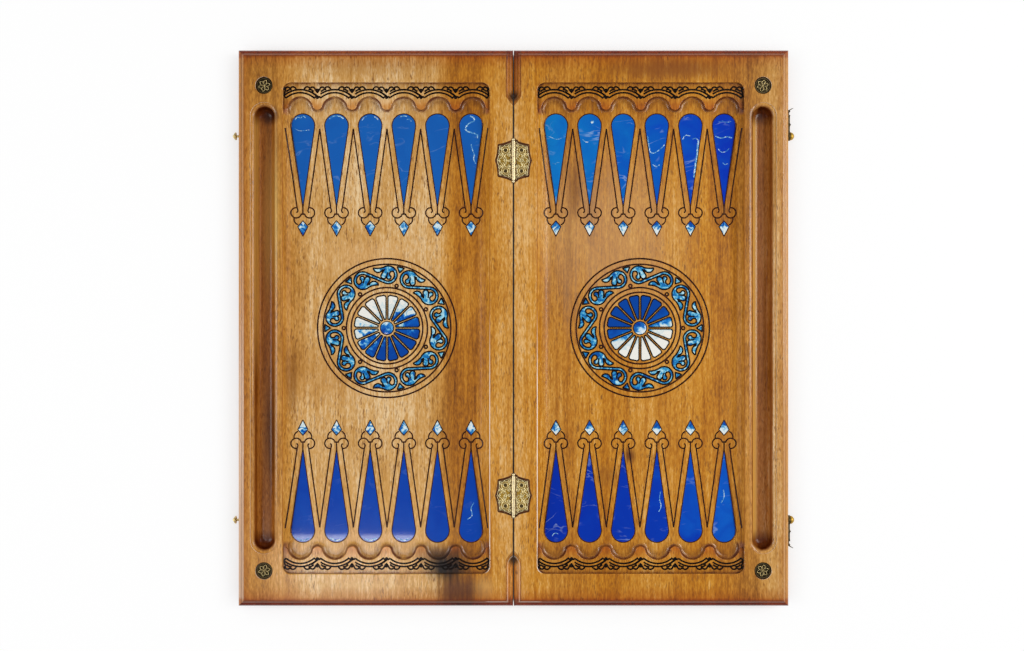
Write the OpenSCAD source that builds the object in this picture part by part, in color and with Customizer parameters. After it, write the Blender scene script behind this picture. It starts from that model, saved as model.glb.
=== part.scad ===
// Folding backgammon board, lying open: two routed wooden halves, joined by two inlaid
// hinges along the seam and held shut by two swinging hooks on the outer edge.
// Z = 0 is the underside, X = 0 is the seam, Y = 0 is the middle of the seam.
// Everything is drawn for the upper right quarter and mirrored to its other places.

/* [Board] */
// Length of the board along the seam
board_l = 600; // [585:1:640]
// Width of one half, seam to outer edge
half_w = 296.5; // [294:0.5:320]
// Thickness of one half
half_t = 25; // [24:0.5:32]
// Gap between the two halves when open
seam_gap = 1; // [0.6:0.1:1.6]
// Gap between the two faces when closed
closed_gap = 0.4; // [0.2:0.1:1]
// Radius of the eased lower edges
foot_r = 1.5; // [1:0.5:3]

/* [Edge moulding] */
// Radius of the small bead beside the rim
bead_small_r = 3; // [2:0.1:3.5]
// Radius of the large bead at the edge
bead_large_r = 4.2; // [3:0.1:5]
// Step down from the rim to the small bead
bead_step = 0.6; // [0.3:0.1:1]
// Length of the moulding that turns in along the seam
seam_bead_l = 45; // [30:1:70]
// Radius of the cutter that ran the moulding out
cutter_r = 13; // [10:0.5:16]

/* [Playing field] */
// Rim between the seam and the field
rim_seam = 24.2; // [22:0.1:30]
// Rim between the board's end and the field
rim_end = 35; // [32:0.5:40]
// Width of the field
field_w = 224.2; // [220:0.1:226]
// Radius of the field's corners
field_r = 9.5; // [7:0.5:14]
// Depth of the frieze band below the rim
frieze_d = 3; // [2:0.5:4]
// Depth of the playing floor below the rim
floor_d = 8; // [7:0.5:9]
// Radius that softens the field's upper edges
lip_r = 1; // [0.6:0.1:1.8]
// Width of the cove along the field's long sides
side_cove_w = 15; // [12:0.5:18]
// Width of the cove under the arches
arch_cove_w = 5; // [5:0.5:7]
// Radius that softens the arches' edges
arch_lip_r = 0.8; // [0.4:0.1:1.2]
// Plain margin at each end of the row of arches
arch_margin = 0.5; // [0:0.1:4]
// Width of the foot between two arches
arch_foot_w = 8.3; // [6:0.1:9]
// Distance from the field's end to the arch centres
arch_set = 29.3; // [28:0.1:32]

/* [Troughs] */
// Rim between the field and the checker trough
rim_trough = 4.6; // [4:0.1:6]
// Width of the trough at the rim
trough_w = 29.4; // [28:0.1:30]
// Length of the trough
trough_l = 485.4; // [440:0.1:488]
// Depth of the trough
trough_d = 14; // [13:0.5:16]
// Depth of the ledge inside the trough's edge
ledge_d = 1; // [0.5:0.1:1.5]
// Radius of the rounded shoulder below the ledge
shoulder_r = 4.9; // [4:0.1:5.5]
// Radius of the trough's rounded floor
trough_floor_r = 6.5; // [5:0.5:7]

/* [Resin inlay] */
// Depth of every resin inlay
inlay_d = 3; // [2:0.5:4]
// Play between a resin inlay and its pocket
inlay_gap = 0.04; // [0.02:0.01:0.1]
// Plain margin at each end of a row of points
point_margin = 3; // [1:0.1:5]
// Distance from the field's end to the middle of a point's head
point_set = 46.1; // [45:0.1:48]
// Radius of a point's round head
point_r = 12.8; // [11:0.1:13.4]
// Length of a point, from the middle of its head to its tip
point_l = 89.2; // [80:0.1:92]
// Space between a point's tip and its diamond
diamond_gap = 13.6; // [10:0.1:15]
// Width of a diamond
diamond_w = 11; // [8:0.5:13]
// Length of a diamond's blunt end
diamond_head = 6.3; // [4:0.1:8]
// Length of a diamond's long end
diamond_tail = 10.5; // [8:0.1:12]

/* [Medallion] */
// Radius of the inlaid hub
hub_r = 6.9; // [6:0.1:7.5]
// Height of the hub's dome above the floor
hub_rise = 0.8; // [0.4:0.1:1.2]
// Number of petals
petal_count = 16; // [12:1:18]
// Radius where the petals start
petal_in_r = 9.7; // [9:0.1:11]
// Radius where the petals end
petal_out_r = 35.5; // [33:0.1:36.5]
// Radius of a petal's outer corners
petal_corner_r = 2.6; // [1.5:0.1:3]
// Width of the wooden ribs between petals
rib_w = 2; // [1.6:0.1:2.6]
// Radius of the engraved circle round the petals
petal_line_r = 38.7; // [37.8:0.1:39.5]
// Radius of the engraved circle inside the scrolls
scroll_in_line_r = 43.8; // [42:0.1:44.2]
// Radius of the engraved circle outside the scrolls
scroll_out_line_r = 69; // [68.6:0.1:70]
// Radius of the outermost engraved circle
rim_line_r = 75.1; // [73:0.1:78]
// Width of an engraved circle
line_w = 1; // [0.6:0.1:1.2]
// Radius of the circle that the scrolls run along
scroll_ring_r = 57.6; // [57:0.1:57.8]
// Radius of a scroll's two curls
curl_r = 9.6; // [9:0.1:9.8]
// Angle from a scroll's middle to the middle of each curl
curl_angle = 14.2; // [14:0.1:14.4]
// Width of a scroll's stem
stem_w = 2.8; // [2.4:0.1:3]
// Length of the small triangles between the scrolls, along the medallion's radius
triangle_l = 6; // [5:0.1:6.5]
// Width of those triangles
triangle_w = 9.2; // [7:0.1:10]
// Space between a triangle and what surrounds it
triangle_gap = 1.8; // [1.4:0.1:2.2]
// Radius of the small engraved rings between the scrolls
eyelet_r = 1.7; // [1.4:0.1:2]
// Space between such a ring and the engraved circle inside it
eyelet_gap = 1.2; // [0.8:0.1:1.6]

/* [Corner buttons] */
// Distance from the board's end to a corner button
button_set = 39.1; // [37:0.1:41]
// Radius of a corner button
button_r = 8.3; // [7:0.1:8.8]
// Thickness of a corner button's head
button_t = 2.8; // [2:0.1:3.4]
// Radius of the sunk seat round a corner button
button_seat_r = 9.3; // [9:0.1:10]
// Depth of that seat
button_seat_d = 4.6; // [4:0.1:6]
// Radius of the button's shank
shank_r = 1.6; // [1.2:0.1:2]
// Length of the button's shank
shank_l = 8; // [5:0.5:10]

/* [Hinges] */
// Distance from the board's end to the middle of a hinge
hinge_set = 120; // [100:1:150]
// Radius of the barrel
barrel_r = 1.8; // [1.7:0.1:2.2]
// Length of the barrel
barrel_l = 42; // [36:0.1:44]
// Gap between two knuckles
knuckle_gap = 0.2; // [0.1:0.05:0.4]
// Radius of the hinge pin
hinge_pin_r = 0.85; // [0.7:0.05:0.95]
// Running clearance round the hinge pin
pin_play = 0.05; // [0.03:0.01:0.08]
// Radius of the ball at each end of the pin
ball_r = 1.6; // [1.4:0.1:1.7]
// Thickness of a leaf
leaf_t = 1.5; // [1.2:0.1:1.8]
// Depth of a leaf's face below the rim
leaf_sink = 0.1; // [0:0.05:0.3]
// Half length of a leaf beside the barrel
leaf_root = 20.2; // [19:0.1:21.5]
// Half length of a leaf across its corners
leaf_corner_y = 16.2; // [15:0.1:17]
// Distance of a leaf's corners from the seam
leaf_corner_x = 15.6; // [14:0.1:16]
// Reach of a leaf's outer point from the seam
leaf_reach = 18.2; // [17:0.1:19]
// Radius of the hollows between a leaf's points
leaf_hollow_r = 45; // [25:1:80]
// Gap round a leaf in its mortise
mortise_gap = 0.9; // [0.3:0.1:1.2]
// Gap between the barrel and the wood
barrel_gap = 0.4; // [0.3:0.1:0.8]
// Distance from the seam to a hinge screw
hinge_screw_x = 8.6; // [7:0.1:10]
// Distance from the hinge's middle to a hinge screw
hinge_screw_y = 11.2; // [8:0.1:12]
// Radius of a hinge screw's head
hinge_screw_head_r = 1.7; // [1.4:0.1:2]
// Radius of a hinge screw's body
hinge_screw_r = 0.9; // [0.7:0.1:1.1]
// Length of a hinge screw
hinge_screw_l = 10; // [7:0.5:12]

/* [Hooks] */
// Distance from the board's end to a hook's screw and its catch
hook_set = 92; // [75:1:110]
// Height of the hook screws and catches above the underside
hook_z = 13; // [12:0.5:14]
// How far the hook screws and catches stand out
hook_out = 7.4; // [6.8:0.1:8]
// Thickness of the hook
hook_t = 2; // [1.6:0.1:2.2]
// Radius of the hook's eye
eye_r = 5; // [4.6:0.1:5.5]
// Radius of the hook screw's body in the eye
hook_screw_r = 2; // [1.6:0.1:2.2]
// Running clearance round the hook screw
hook_play = 0.06; // [0.03:0.01:0.08]
// Radius of the hook screw's domed head
hook_head_r = 4.3; // [3.8:0.1:4.6]
// Width of the hook's stem
hook_stem_w = 3.2; // [2.8:0.1:3.8]
// Radius of the swelling in the middle of the stem
hook_swell_r = 2.6; // [2.2:0.1:3]
// Radius of the hook's nose round the catch
nose_r = 3.6; // [3.4:0.1:4]
// Length of the hook's turned-out tip
tip_l = 2.4; // [2:0.1:4]
// Width of the tip
tip_w = 4; // [3.6:0.1:5]
// Radius of the collar that holds a hook off the wood
collar_r = 3.5; // [3:0.1:3.8]
// Thickness of the collars under the hooks and catches
collar_t = 0.5; // [0.4:0.1:0.8]
// Radius of the catch's neck
neck_r = 1.3; // [1:0.1:1.5]
// Radius of the catch's button
catch_r = 4.2; // [3.6:0.1:4.4]
// Height of the catch's button above the edge
catch_in = 3.9; // [3.2:0.1:4.2]
// Thickness of the catch's button, without its dome
catch_t = 1.6; // [1.2:0.1:2]
// Gap between the hook's notch and the catch's neck
notch_gap = 0.4; // [0.3:0.05:0.6]
// Gap beside the hook on its screw and on the catch
hook_side_gap = 0.1; // [0.1:0.05:0.2]
// Length of a hook screw or catch inside the wood
edge_screw_l = 14; // [10:0.5:18]
// Radius of a hook screw or catch inside the wood
edge_screw_r = 1.6; // [1.2:0.1:1.8]

/* [Hidden] */
$fn = 64;

// How far a cutting shape runs past the face it opens
over = 1;

point_count = 6;
scroll_count = 7;
knuckle_count = 5;

seam_x = seam_gap / 2;
edge_x = seam_x + half_w;
end_y = board_l / 2;

bead_w = bead_small_r + bead_large_r;
bead_d = bead_step + bead_w;

field_x = seam_x + rim_seam + field_w / 2;
field_l = board_l - 2 * rim_end;
field_end = field_l / 2;
frieze_z = half_t - frieze_d;
floor_z = half_t - floor_d;

trough_x = field_x + field_w / 2 + rim_trough + trough_w / 2;
channel_wall = trough_w / 2 - shoulder_r;

arch_pitch = (field_w - 2 * arch_margin) / point_count;
arch_r = (arch_pitch - arch_foot_w) / 2;
arch_y = field_end - arch_set;
// Round end of a foot: a little larger than one that would only touch the arches beside it
foot_end_r = 1.04 * (arch_pitch * arch_pitch / 4 - arch_r * arch_r) / (2 * arch_r);
foot_end_y = arch_y + foot_end_r;
point_pitch = (field_w - 2 * point_margin) / point_count;
point_y = field_end - point_set;
diamond_y = point_y - point_l - diamond_gap;

// Middle of a scroll's curl, seen from the scroll's own middle
curl_x = scroll_ring_r * cos(curl_angle);
curl_chord = scroll_ring_r * sin(curl_angle);
// True for a scroll whose first leaf lies on the ring's outer edge: they alternate, but for
// one pair
leaf_order = [true, false, true, true, false, true, false];
// Angle that turns an outer leaf away from its stem
outer_leaf_turn = 9;

// Height of the fold's axis, in the middle of the gap between the closed faces
axis_z = half_t + closed_gap / 2;
leaf_top = half_t - leaf_sink;
leaf_z = leaf_top - leaf_t;
leaf_x = barrel_r + barrel_gap;
knuckle_l = (barrel_l - (knuckle_count - 1) * knuckle_gap) / knuckle_count;
// Distance from the middle of a pin's ball to its flat foot
ball_foot = 0.8 * ball_r;

// Distance between a hook screw and its catch when the board is closed
hook_reach = 2 * (axis_z - hook_z);
hook_in = collar_t + hook_side_gap;
head_in = hook_in + hook_t + hook_side_gap;
notch_r = neck_r + notch_gap;
// Share of a domed head's height that is a straight wall
dome_wall = 0.3;

button_y = end_y - button_set;
hinge_y = end_y - hinge_set;
hook_y = end_y - hook_set;

// Mirrors a quarter's pieces to the other half, or to the other end
module left() mirror([1, 0, 0]) children();
module lower() mirror([0, 1, 0]) children();
module both_ends() {
    children();
    lower() children();
}

// Blank and edge moulding

// What the cutter takes off: x runs in from the edge, y up from the rim
module bead_cut() {
    difference() {
        translate([-over, -bead_step - bead_small_r])
            square([bead_w + over, bead_step + bead_small_r + over]);
        translate([bead_w, -bead_step - bead_small_r])
            circle(bead_small_r);
    }
    difference() {
        translate([-over, -bead_d])
            square([bead_large_r + over, bead_large_r]);
        translate([bead_large_r, -bead_d])
            circle(bead_large_r);
    }
}

// Moulding above and eased foot below, with the wood on the +X side of the edge
module edge_cut() {
    bead_cut();
    difference() {
        translate([-over, -half_t - over])
            square([foot_r + over, foot_r + over]);
        translate([foot_r, foot_r - half_t])
            circle(foot_r);
    }
}

// The moulded plank: its section across the board and its section along the seam meet in
// mitres at the outer corners
module blank() {
    intersection() {
        translate([0, 0, half_t]) rotate([90, 0, 0])
            linear_extrude(board_l, center = true) difference() {
                translate([seam_x, -half_t])
                    square([half_w, half_t]);
                translate([edge_x, 0]) mirror([1, 0])
                    edge_cut();
            }
        translate([seam_x, 0, half_t]) rotate([90, 0, 90])
            linear_extrude(half_w) difference() {
                translate([-end_y, -half_t])
                    square([board_l, half_t]);
                for (s = [0, 1]) mirror([s, 0])
                    translate([-end_y, 0])
                        edge_cut();
            }
    }
}

// Moulding that turns in along the seam and leaves it in the cutter's own curve
module seam_bead() {
    run = seam_bead_l + over;
    translate([seam_x, end_y - seam_bead_l + run / 2, half_t]) rotate([90, 0, 0])
        linear_extrude(run, center = true) bead_cut();
    translate([seam_x + bead_w - cutter_r, end_y - seam_bead_l, half_t])
        rotate([0, 0, 180])
            rotate_extrude(angle = 180)
                translate([cutter_r - bead_w, 0])
                    bead_cut();
}

// Playing field

// Half section of a hollow of half width w and depth d: flat floor, cove and rounded lip.
// The slope from the floor's edge to the rim is c wide; the cut stays open above the rim.
module cove_section(w, c, d, lip, above = over) {
    // A hollow deeper than its slope is wide has a straight wall above the cove
    cove_d = min(c, d);
    centres = (c * c + cove_d * cove_d) / (2 * cove_d);
    cove_r = centres - lip;
    // The cove or its wall meets the lip this far below the rim
    meet_d = cove_d * lip / centres;
    difference() {
        translate([0, -d])
            square([w, d + above]);
        difference() {
            translate([w - c, -d - over])
                square([c + over, d + over - meet_d]);
            translate([w - c, cove_r - d])
                circle(cove_r);
            if (d > cove_d)
                translate([w - c, cove_r - d])
                    square([cove_r, d]);
        }
        translate([w, -lip])
            circle(lip);
    }
}

// The floor up to the feet of the arches: broad coves from the rim along its sides,
// small ones up to the frieze at its ends
module floor_cut() {
    intersection() {
        translate([0, 0, half_t]) rotate([90, 0, 0])
            linear_extrude(2 * foot_end_y, center = true)
                for (s = [0, 1]) mirror([s, 0])
                    cove_section(field_w / 2, side_cove_w, floor_d, lip_r);
        translate([0, 0, frieze_z]) rotate([90, 0, 90])
            linear_extrude(field_w + 2 * over, center = true)
                for (s = [0, 1]) mirror([s, 0])
                    cove_section(foot_end_y, arch_cove_w, floor_d - frieze_d, arch_lip_r,
                                 above = frieze_d + over);
    }
}

// The round end of a foot, standing on the floor in its own cove
module foot_end() {
    reach = foot_end_r + arch_cove_w;
    depth = floor_d - frieze_d;
    translate([0, 0, frieze_z])
        rotate_extrude() difference() {
            translate([0, -depth - over])
                square([reach, depth + over]);
            translate([reach, 0]) mirror([1, 0])
                cove_section(arch_cove_w, arch_cove_w, depth, arch_lip_r);
        }
}

// The round hollow under one arch
module arch_cut() {
    translate([0, 0, frieze_z])
        rotate_extrude()
            cove_section(arch_r, arch_cove_w, floor_d - frieze_d, arch_lip_r);
}

module rounded_rectangle(w, l, r) {
    square([w, l - 2 * r], center = true);
    square([w - 2 * r, l], center = true);
    for (x = [-1, 1], y = [-1, 1])
        translate([x * (w / 2 - r), y * (l / 2 - r)])
            circle(r);
}

// Rounds the edge between a wall at x = 0 and the rim at y = 0
module lip_cut() {
    difference() {
        translate([-over, -lip_r])
            square([lip_r + over, lip_r + over]);
        translate([lip_r, -lip_r])
            circle(lip_r);
    }
}

// The sunk band that carries the arches at one end of the field
module frieze_cut() {
    start = arch_y - over / 2;
    side_l = field_end - field_r - start;
    translate([0, 0, frieze_z])
        linear_extrude(frieze_d + over)
            intersection() {
                rounded_rectangle(field_w - 2 * lip_r, field_l - 2 * lip_r, field_r - lip_r);
                translate([-field_w / 2, start])
                    square([field_w, field_end]);
            }
    translate([0, field_end - lip_r, half_t]) rotate([90, 0, 90])
        linear_extrude(field_w - 2 * field_r, center = true) lip_cut();
    for (s = [0, 1]) mirror([s, 0, 0]) {
        translate([field_w / 2 - lip_r, start + side_l / 2, half_t]) rotate([90, 0, 0])
            linear_extrude(side_l, center = true) lip_cut();
        translate([field_w / 2 - field_r, field_end - field_r, half_t])
            rotate_extrude(angle = 90)
                translate([field_r - lip_r, 0]) lip_cut();
    }
}

// X of each point, or of the arch above it, from the field's middle; half numbers fall
// between them
function in_row(i, pitch) = (i - (point_count - 1) / 2) * pitch;

module field_cut() {
    translate([field_x, 0, 0]) {
        difference() {
            floor_cut();
            both_ends() for (i = [0 : point_count])
                translate([in_row(i - 0.5, arch_pitch), foot_end_y, 0]) foot_end();
        }
        both_ends() {
            frieze_cut();
            for (i = [0 : point_count - 1])
                translate([in_row(i, arch_pitch), arch_y, 0]) arch_cut();
        }
    }
}

// Checker trough

// Half section: shallow ledge, rounded shoulder and round-floored channel
module trough_section() {
    shoulder_y = ledge_d + shoulder_r;
    translate([0, -ledge_d])
        square([trough_w / 2, ledge_d + over]);
    difference() {
        translate([0, -shoulder_y])
            square([trough_w / 2, shoulder_r]);
        translate([trough_w / 2, -shoulder_y])
            circle(shoulder_r);
    }
    translate([0, trough_floor_r - trough_d])
        square([channel_wall, trough_d - trough_floor_r - shoulder_y]);
    translate([0, -trough_d])
        square([channel_wall - trough_floor_r, trough_floor_r]);
    intersection() {
        translate([channel_wall - trough_floor_r, -trough_d])
            square(trough_floor_r);
        translate([channel_wall - trough_floor_r, trough_floor_r - trough_d])
            circle(trough_floor_r);
    }
}

module trough_cut() {
    run = trough_l - trough_w;
    translate([trough_x, 0, half_t]) {
        rotate([90, 0, 0])
            linear_extrude(run, center = true) {
                trough_section();
                mirror([1, 0]) trough_section();
            }
        both_ends()
            translate([0, run / 2, 0])
                rotate_extrude(angle = 180) trough_section();
    }
}

// Resin inlay: each outline is the piece's own, and grow opens it into its pocket

module point_outline(grow = 0) {
    r = point_r + grow;
    reach = point_l * r / point_r;
    slope = asin(r / reach);
    circle(r);
    polygon([
        [r * cos(slope), -r * sin(slope)],
        [-r * cos(slope), -r * sin(slope)],
        [0, -reach]
    ]);
}

module diamond_outline(grow = 0) {
    polygon([
        [0, diamond_head + grow],
        [diamond_w / 2 + grow, 0],
        [0, -diamond_tail - grow],
        [-diamond_w / 2 - grow, 0]
    ]);
}

// The wedge between two ribs, with rounded outer corners
module petal_outline(grow = 0) {
    half_angle = 180 / petal_count;
    along = [cos(half_angle), sin(half_angle)];
    off_rib = (rib_w / 2 - grow) * [sin(half_angle), -cos(half_angle)];
    inner = (petal_in_r - grow) * along + off_rib;
    outer = (petal_out_r + over) * along + off_rib;
    corner_at = petal_out_r - petal_corner_r;
    corner_angle = half_angle - asin((petal_corner_r + rib_w / 2) / corner_at);
    corner = corner_at * [cos(corner_angle), sin(corner_angle)];
    corner_r = petal_corner_r + grow;
    difference() {
        polygon([inner, outer, [outer[0], -outer[1]], [inner[0], -inner[1]]]);
        // All beyond the two corners and the bar between them
        difference() {
            translate([corner[0], -petal_out_r])
                square(2 * petal_out_r);
            for (s = [-1, 1])
                translate([corner[0], s * corner[1]])
                    circle(corner_r);
            translate([corner[0] - over, -corner[1]])
                square([corner_r + over, 2 * corner[1]]);
        }
    }
}

// A small curved triangle between two scrolls
module triangle_outline(grow = 0) {
    base_r = scroll_out_line_r - triangle_gap;
    side = triangle_w / 2 + grow;
    difference() {
        intersection() {
            circle(base_r + grow, $fn = 128);
            polygon([
                [base_r - triangle_l - grow, 0],
                [base_r + over, side],
                [base_r + over, -side]
            ]);
        }
        for (s = [-1, 1])
            rotate(s * (180 / scroll_count - curl_angle)) translate([scroll_ring_r, 0])
                circle(curl_r + triangle_gap - grow);
    }
}

// Medallion scrolls

// One end of a scroll, drawn round its curl's middle: the scroll's middle lies towards +X and
// the leaf points along -Y. The stem swings over the top and down the far side, swells and
// breaks into two round lobes and a pointed leaf; the wood between them ends in a round eye.
// A leaf that follows the ring's outer edge is turned away from the stem by leaf_turn.
module curl_outline(leaf_turn, grow) {
    // The stem runs from the first of these angles round to the second
    leave = acos((curl_r - stem_w / 2) / curl_chord);
    rejoin = -66;
    difference() {
        circle(curl_r + grow);
        circle(curl_r - stem_w - grow);
        polygon([
            [0, 0],
            2 * curl_r * [cos(leave), sin(leave)],
            2 * curl_r * [1, 0],
            2 * curl_r * [cos(rejoin), sin(rejoin)]
        ]);
    }
    difference() {
        union() {
            translate(curl_r * [-0.17, -0.38])
                circle(0.56 * curl_r + grow);
            lobe([-0.01, 0.26], [-0.1, -0.4], 0.24, grow);
            lobe([0.54, 0.02], [0, -0.52], 0.3, grow);
            rotate(-leaf_turn)
                leaf_point(grow);
        }
        translate(curl_r * [-0.45, -0.02])
            circle(0.29 * curl_r - grow);
    }
}

// Round lobe on a straight neck, with its places and radius in curl radii
module lobe(end, root, r, grow) {
    neck = root - end;
    translate(curl_r * end) {
        circle(r * curl_r + grow);
        rotate(atan2(neck[1], neck[0]))
            translate([0, -r * curl_r - grow])
                square([norm(neck) * curl_r, 2 * (r * curl_r + grow)]);
    }
}

// Leaf: a round on a neck, hollowed on the side of the ring's edge
module leaf_point(grow) {
    bump = [1.09, -0.87];
    difference() {
        union() {
            translate(curl_r * bump)
                circle(0.53 * curl_r + grow);
            lobe(bump, [0, -0.66], 0.17, grow);
        }
        translate(curl_r * [1.05, -2.84])
            circle(2.04 * curl_r - grow, $fn = 128);
    }
}

// S-shaped scroll across the +X axis of the medallion. Going round anticlockwise its first
// leaf lies on the ring's outer edge, or on its inner edge, and its second on the other.
module scroll_outline(out_first, grow = 0) {
    slope = asin((curl_r - stem_w / 2) / curl_chord);
    lap = 0.1;
    for (s = [0, 1]) {
        outward = (s == 1) == out_first;
        mirror([0, s]) translate([curl_x, curl_chord])
            rotate(-90) mirror([0, outward ? 1 : 0])
                curl_outline(outward ? outer_leaf_turn : 0, grow);
    }
    translate([curl_x, 0])
        rotate(out_first ? -slope : slope)
            square([stem_w + 2 * grow, 2 * (curl_chord * cos(slope) + lap)], center = true);
}

// Angle of each scroll's middle
function scroll_angle(i) = (i + 0.5) * 360 / scroll_count;

module scroll_ring() {
    for (i = [0 : scroll_count - 1])
        rotate(scroll_angle(i)) scroll_outline(leaf_order[i]);
}

module triangle_ring() {
    for (i = [0 : scroll_count - 1])
        rotate(i * 360 / scroll_count) triangle_outline();
}

module petal_ring() {
    for (i = [0 : petal_count - 1])
        rotate((i + 0.5) * 360 / petal_count) petal_outline();
}

// A flat inlay fills its pocket up to the floor
module inlay() {
    translate([0, 0, floor_z - inlay_d])
        linear_extrude(inlay_d) children();
}

module pocket() {
    translate([0, 0, floor_z - inlay_d])
        linear_extrude(inlay_d + over) children();
}

module point_row() {
    for (i = [0 : point_count - 1])
        translate([field_x + in_row(i, point_pitch), point_y, 0]) children();
}

module diamond_row() {
    for (i = [0 : point_count - 1])
        translate([field_x + in_row(i, point_pitch), diamond_y - diamond_head, 0]) children();
}

module at_medallion() translate([field_x, 0, 0]) children();

module inlay_pockets() {
    both_ends() {
        point_row() pocket() point_outline(inlay_gap);
        diamond_row() pocket() diamond_outline(inlay_gap);
    }
    at_medallion() {
        for (i = [0 : petal_count - 1])
            rotate((i + 0.5) * 360 / petal_count) pocket() petal_outline(inlay_gap);
        for (i = [0 : scroll_count - 1]) {
            rotate(scroll_angle(i)) pocket() scroll_outline(leaf_order[i], inlay_gap);
            rotate(i * 360 / scroll_count) {
                pocket() triangle_outline(inlay_gap);
                translate([scroll_in_line_r + eyelet_r + eyelet_gap, 0, 0])
                    engraved_circle(eyelet_r);
            }
        }
        translate([0, 0, floor_z - inlay_d])
            cylinder(h = inlay_d + over, r = hub_r + inlay_gap);
        for (r = [petal_line_r, scroll_in_line_r, scroll_out_line_r, rim_line_r])
            engraved_circle(r);
    }
}

// V-shaped groove in the floor
module engraved_circle(r) {
    translate([0, 0, floor_z])
        rotate_extrude()
            translate([r, 0])
                circle(line_w / 2, $fn = 4);
}

// Corner buttons

module button_cut() {
    translate([trough_x, button_y, half_t - button_seat_d]) {
        cylinder(h = button_seat_d + over, r = button_seat_r);
        translate([0, 0, -shank_l - over])
            cylinder(h = shank_l + 2 * over, r = shank_r + inlay_gap);
    }
}

// Cast head with a raised rim round a shallow dish and a low boss, on a plain shank
module button() {
    rim_w = 0.14 * button_r;
    dish_d = 0.3 * button_t;
    boss_r = 0.42 * button_r;
    translate([trough_x, button_y, half_t - button_seat_d])
        rotate_extrude() {
            difference() {
                square([button_r, button_t]);
                translate([boss_r, button_t - dish_d])
                    square([button_r - rim_w - boss_r, dish_d + over]);
                translate([-over, button_t - dish_d / 2])
                    square([boss_r + over, dish_d + over]);
            }
            translate([0, -shank_l])
                square([shank_r, shank_l + dish_d]);
        }
}

// Hinges

// Centre of the disc that hollows the side from a to b by its radius r
function hollow_at(a, b, r) =
    let (mid = (a + b) / 2, side = b - a, half = norm(side) / 2)
    mid + [side[1], -side[0]] / norm(side) * sqrt(r * r - half * half);

// Leaf with pointed corners and hollow sides, for x > start
module leaf_outline(start, grow = 0) {
    root = [leaf_x, leaf_root];
    corner = [leaf_corner_x, leaf_corner_y];
    tip = [leaf_reach, 0];
    // The gap beyond the tip is wider, because its two sides slant
    tip_grow = 1.4 * grow;
    difference() {
        polygon([
            [start, leaf_root + grow],
            root + [0, grow],
            corner + [grow, grow],
            tip + [tip_grow, 0],
            [corner[0] + grow, -corner[1] - grow],
            [root[0], -root[1] - grow],
            [start, -leaf_root - grow]
        ]);
        for (s = [0, 1]) mirror([0, s]) {
            translate(hollow_at(corner, root, leaf_hollow_r))
                circle(leaf_hollow_r - grow, $fn = 128);
            translate(hollow_at(tip, corner, leaf_hollow_r))
                circle(leaf_hollow_r - grow, $fn = 128);
        }
    }
}

module at_hinge() translate([0, hinge_y, 0]) children();

// Y of the lower face of a knuckle
function knuckle_y(i) = -barrel_l / 2 + i * (knuckle_l + knuckle_gap);

module leaf(first) {
    at_hinge() difference() {
        union() {
            translate([0, 0, leaf_z])
                linear_extrude(leaf_t) leaf_outline(leaf_x);
            for (i = [first : 2 : knuckle_count - 1])
                translate([0, knuckle_y(i), 0]) {
                    translate([0, 0, axis_z]) rotate([-90, 0, 0])
                        cylinder(h = knuckle_l, r = barrel_r);
                    translate([0, 0, leaf_z])
                        cube([leaf_x + over, knuckle_l, leaf_t]);
                }
        }
        translate([0, -barrel_l, axis_z]) rotate([-90, 0, 0])
            cylinder(h = 2 * barrel_l, r = hinge_pin_r + pin_play);
        for (s = [-1, 1])
            translate([hinge_screw_x, s * hinge_screw_y, leaf_top])
                hinge_screw_shape(inlay_gap);
    }
}

// Countersunk screw with its head at z = 0
module hinge_screw_shape(grow = 0) {
    head_d = hinge_screw_head_r - hinge_screw_r;
    rotate_extrude()
        polygon([
            [0, 0], [hinge_screw_head_r + grow, 0],
            [hinge_screw_r + grow, -head_d - grow],
            [hinge_screw_r + grow, -hinge_screw_l - grow],
            [0, -hinge_screw_l - grow]
        ]);
}

module hinge_screw_pair() {
    at_hinge() for (s = [-1, 1])
        translate([hinge_screw_x, s * hinge_screw_y, leaf_top])
            hinge_screw_shape();
}

// Pin with one ball turned on its upper end
module hinge_pin() {
    tail = barrel_l / 2 + knuckle_gap + ball_r;
    at_hinge() translate([0, 0, axis_z]) rotate([-90, 0, 0])
        rotate_extrude() {
            translate([0, -tail])
                square([hinge_pin_r, 2 * tail]);
            translate([0, barrel_l / 2 + knuckle_gap + ball_foot])
                ball_section();
        }
}

// Half section of a ball with a flat foot against the barrel
module ball_section() {
    intersection() {
        circle(ball_r);
        translate([0, -ball_foot])
            square([ball_r + over, ball_foot + ball_r + over]);
    }
}

// Ball pressed on the pin's lower end, with a bore that ends just past its middle
module hinge_cap() {
    bore_l = 2 * ball_r - ball_foot + inlay_gap;
    at_hinge() translate([0, -barrel_l / 2 - knuckle_gap - ball_foot, axis_z])
        rotate([90, 0, 0])
            rotate_extrude()
                difference() {
                    ball_section();
                    translate([-over, -ball_r - over])
                        square([over + hinge_pin_r + inlay_gap, over + bore_l]);
                }
}

module hinge_cuts() {
    relief = barrel_l + 2 * (knuckle_gap + ball_foot + ball_r + barrel_gap);
    at_hinge() {
        translate([0, 0, leaf_z])
            linear_extrude(half_t - leaf_z + over)
                leaf_outline(seam_x - over, mortise_gap);
        translate([0, -relief / 2, axis_z]) rotate([-90, 0, 0])
            cylinder(h = relief, r = barrel_r + barrel_gap);
        for (s = [-1, 1])
            translate([hinge_screw_x, s * hinge_screw_y, leaf_top])
                hinge_screw_shape(inlay_gap);
    }
}

// Hooks and catches

// Places a shape drawn along +Z on the outer edge, pointing out
module at_hook() {
    translate([edge_x, hook_y, hook_z])
        rotate([0, 90, 0]) children();
}

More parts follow.
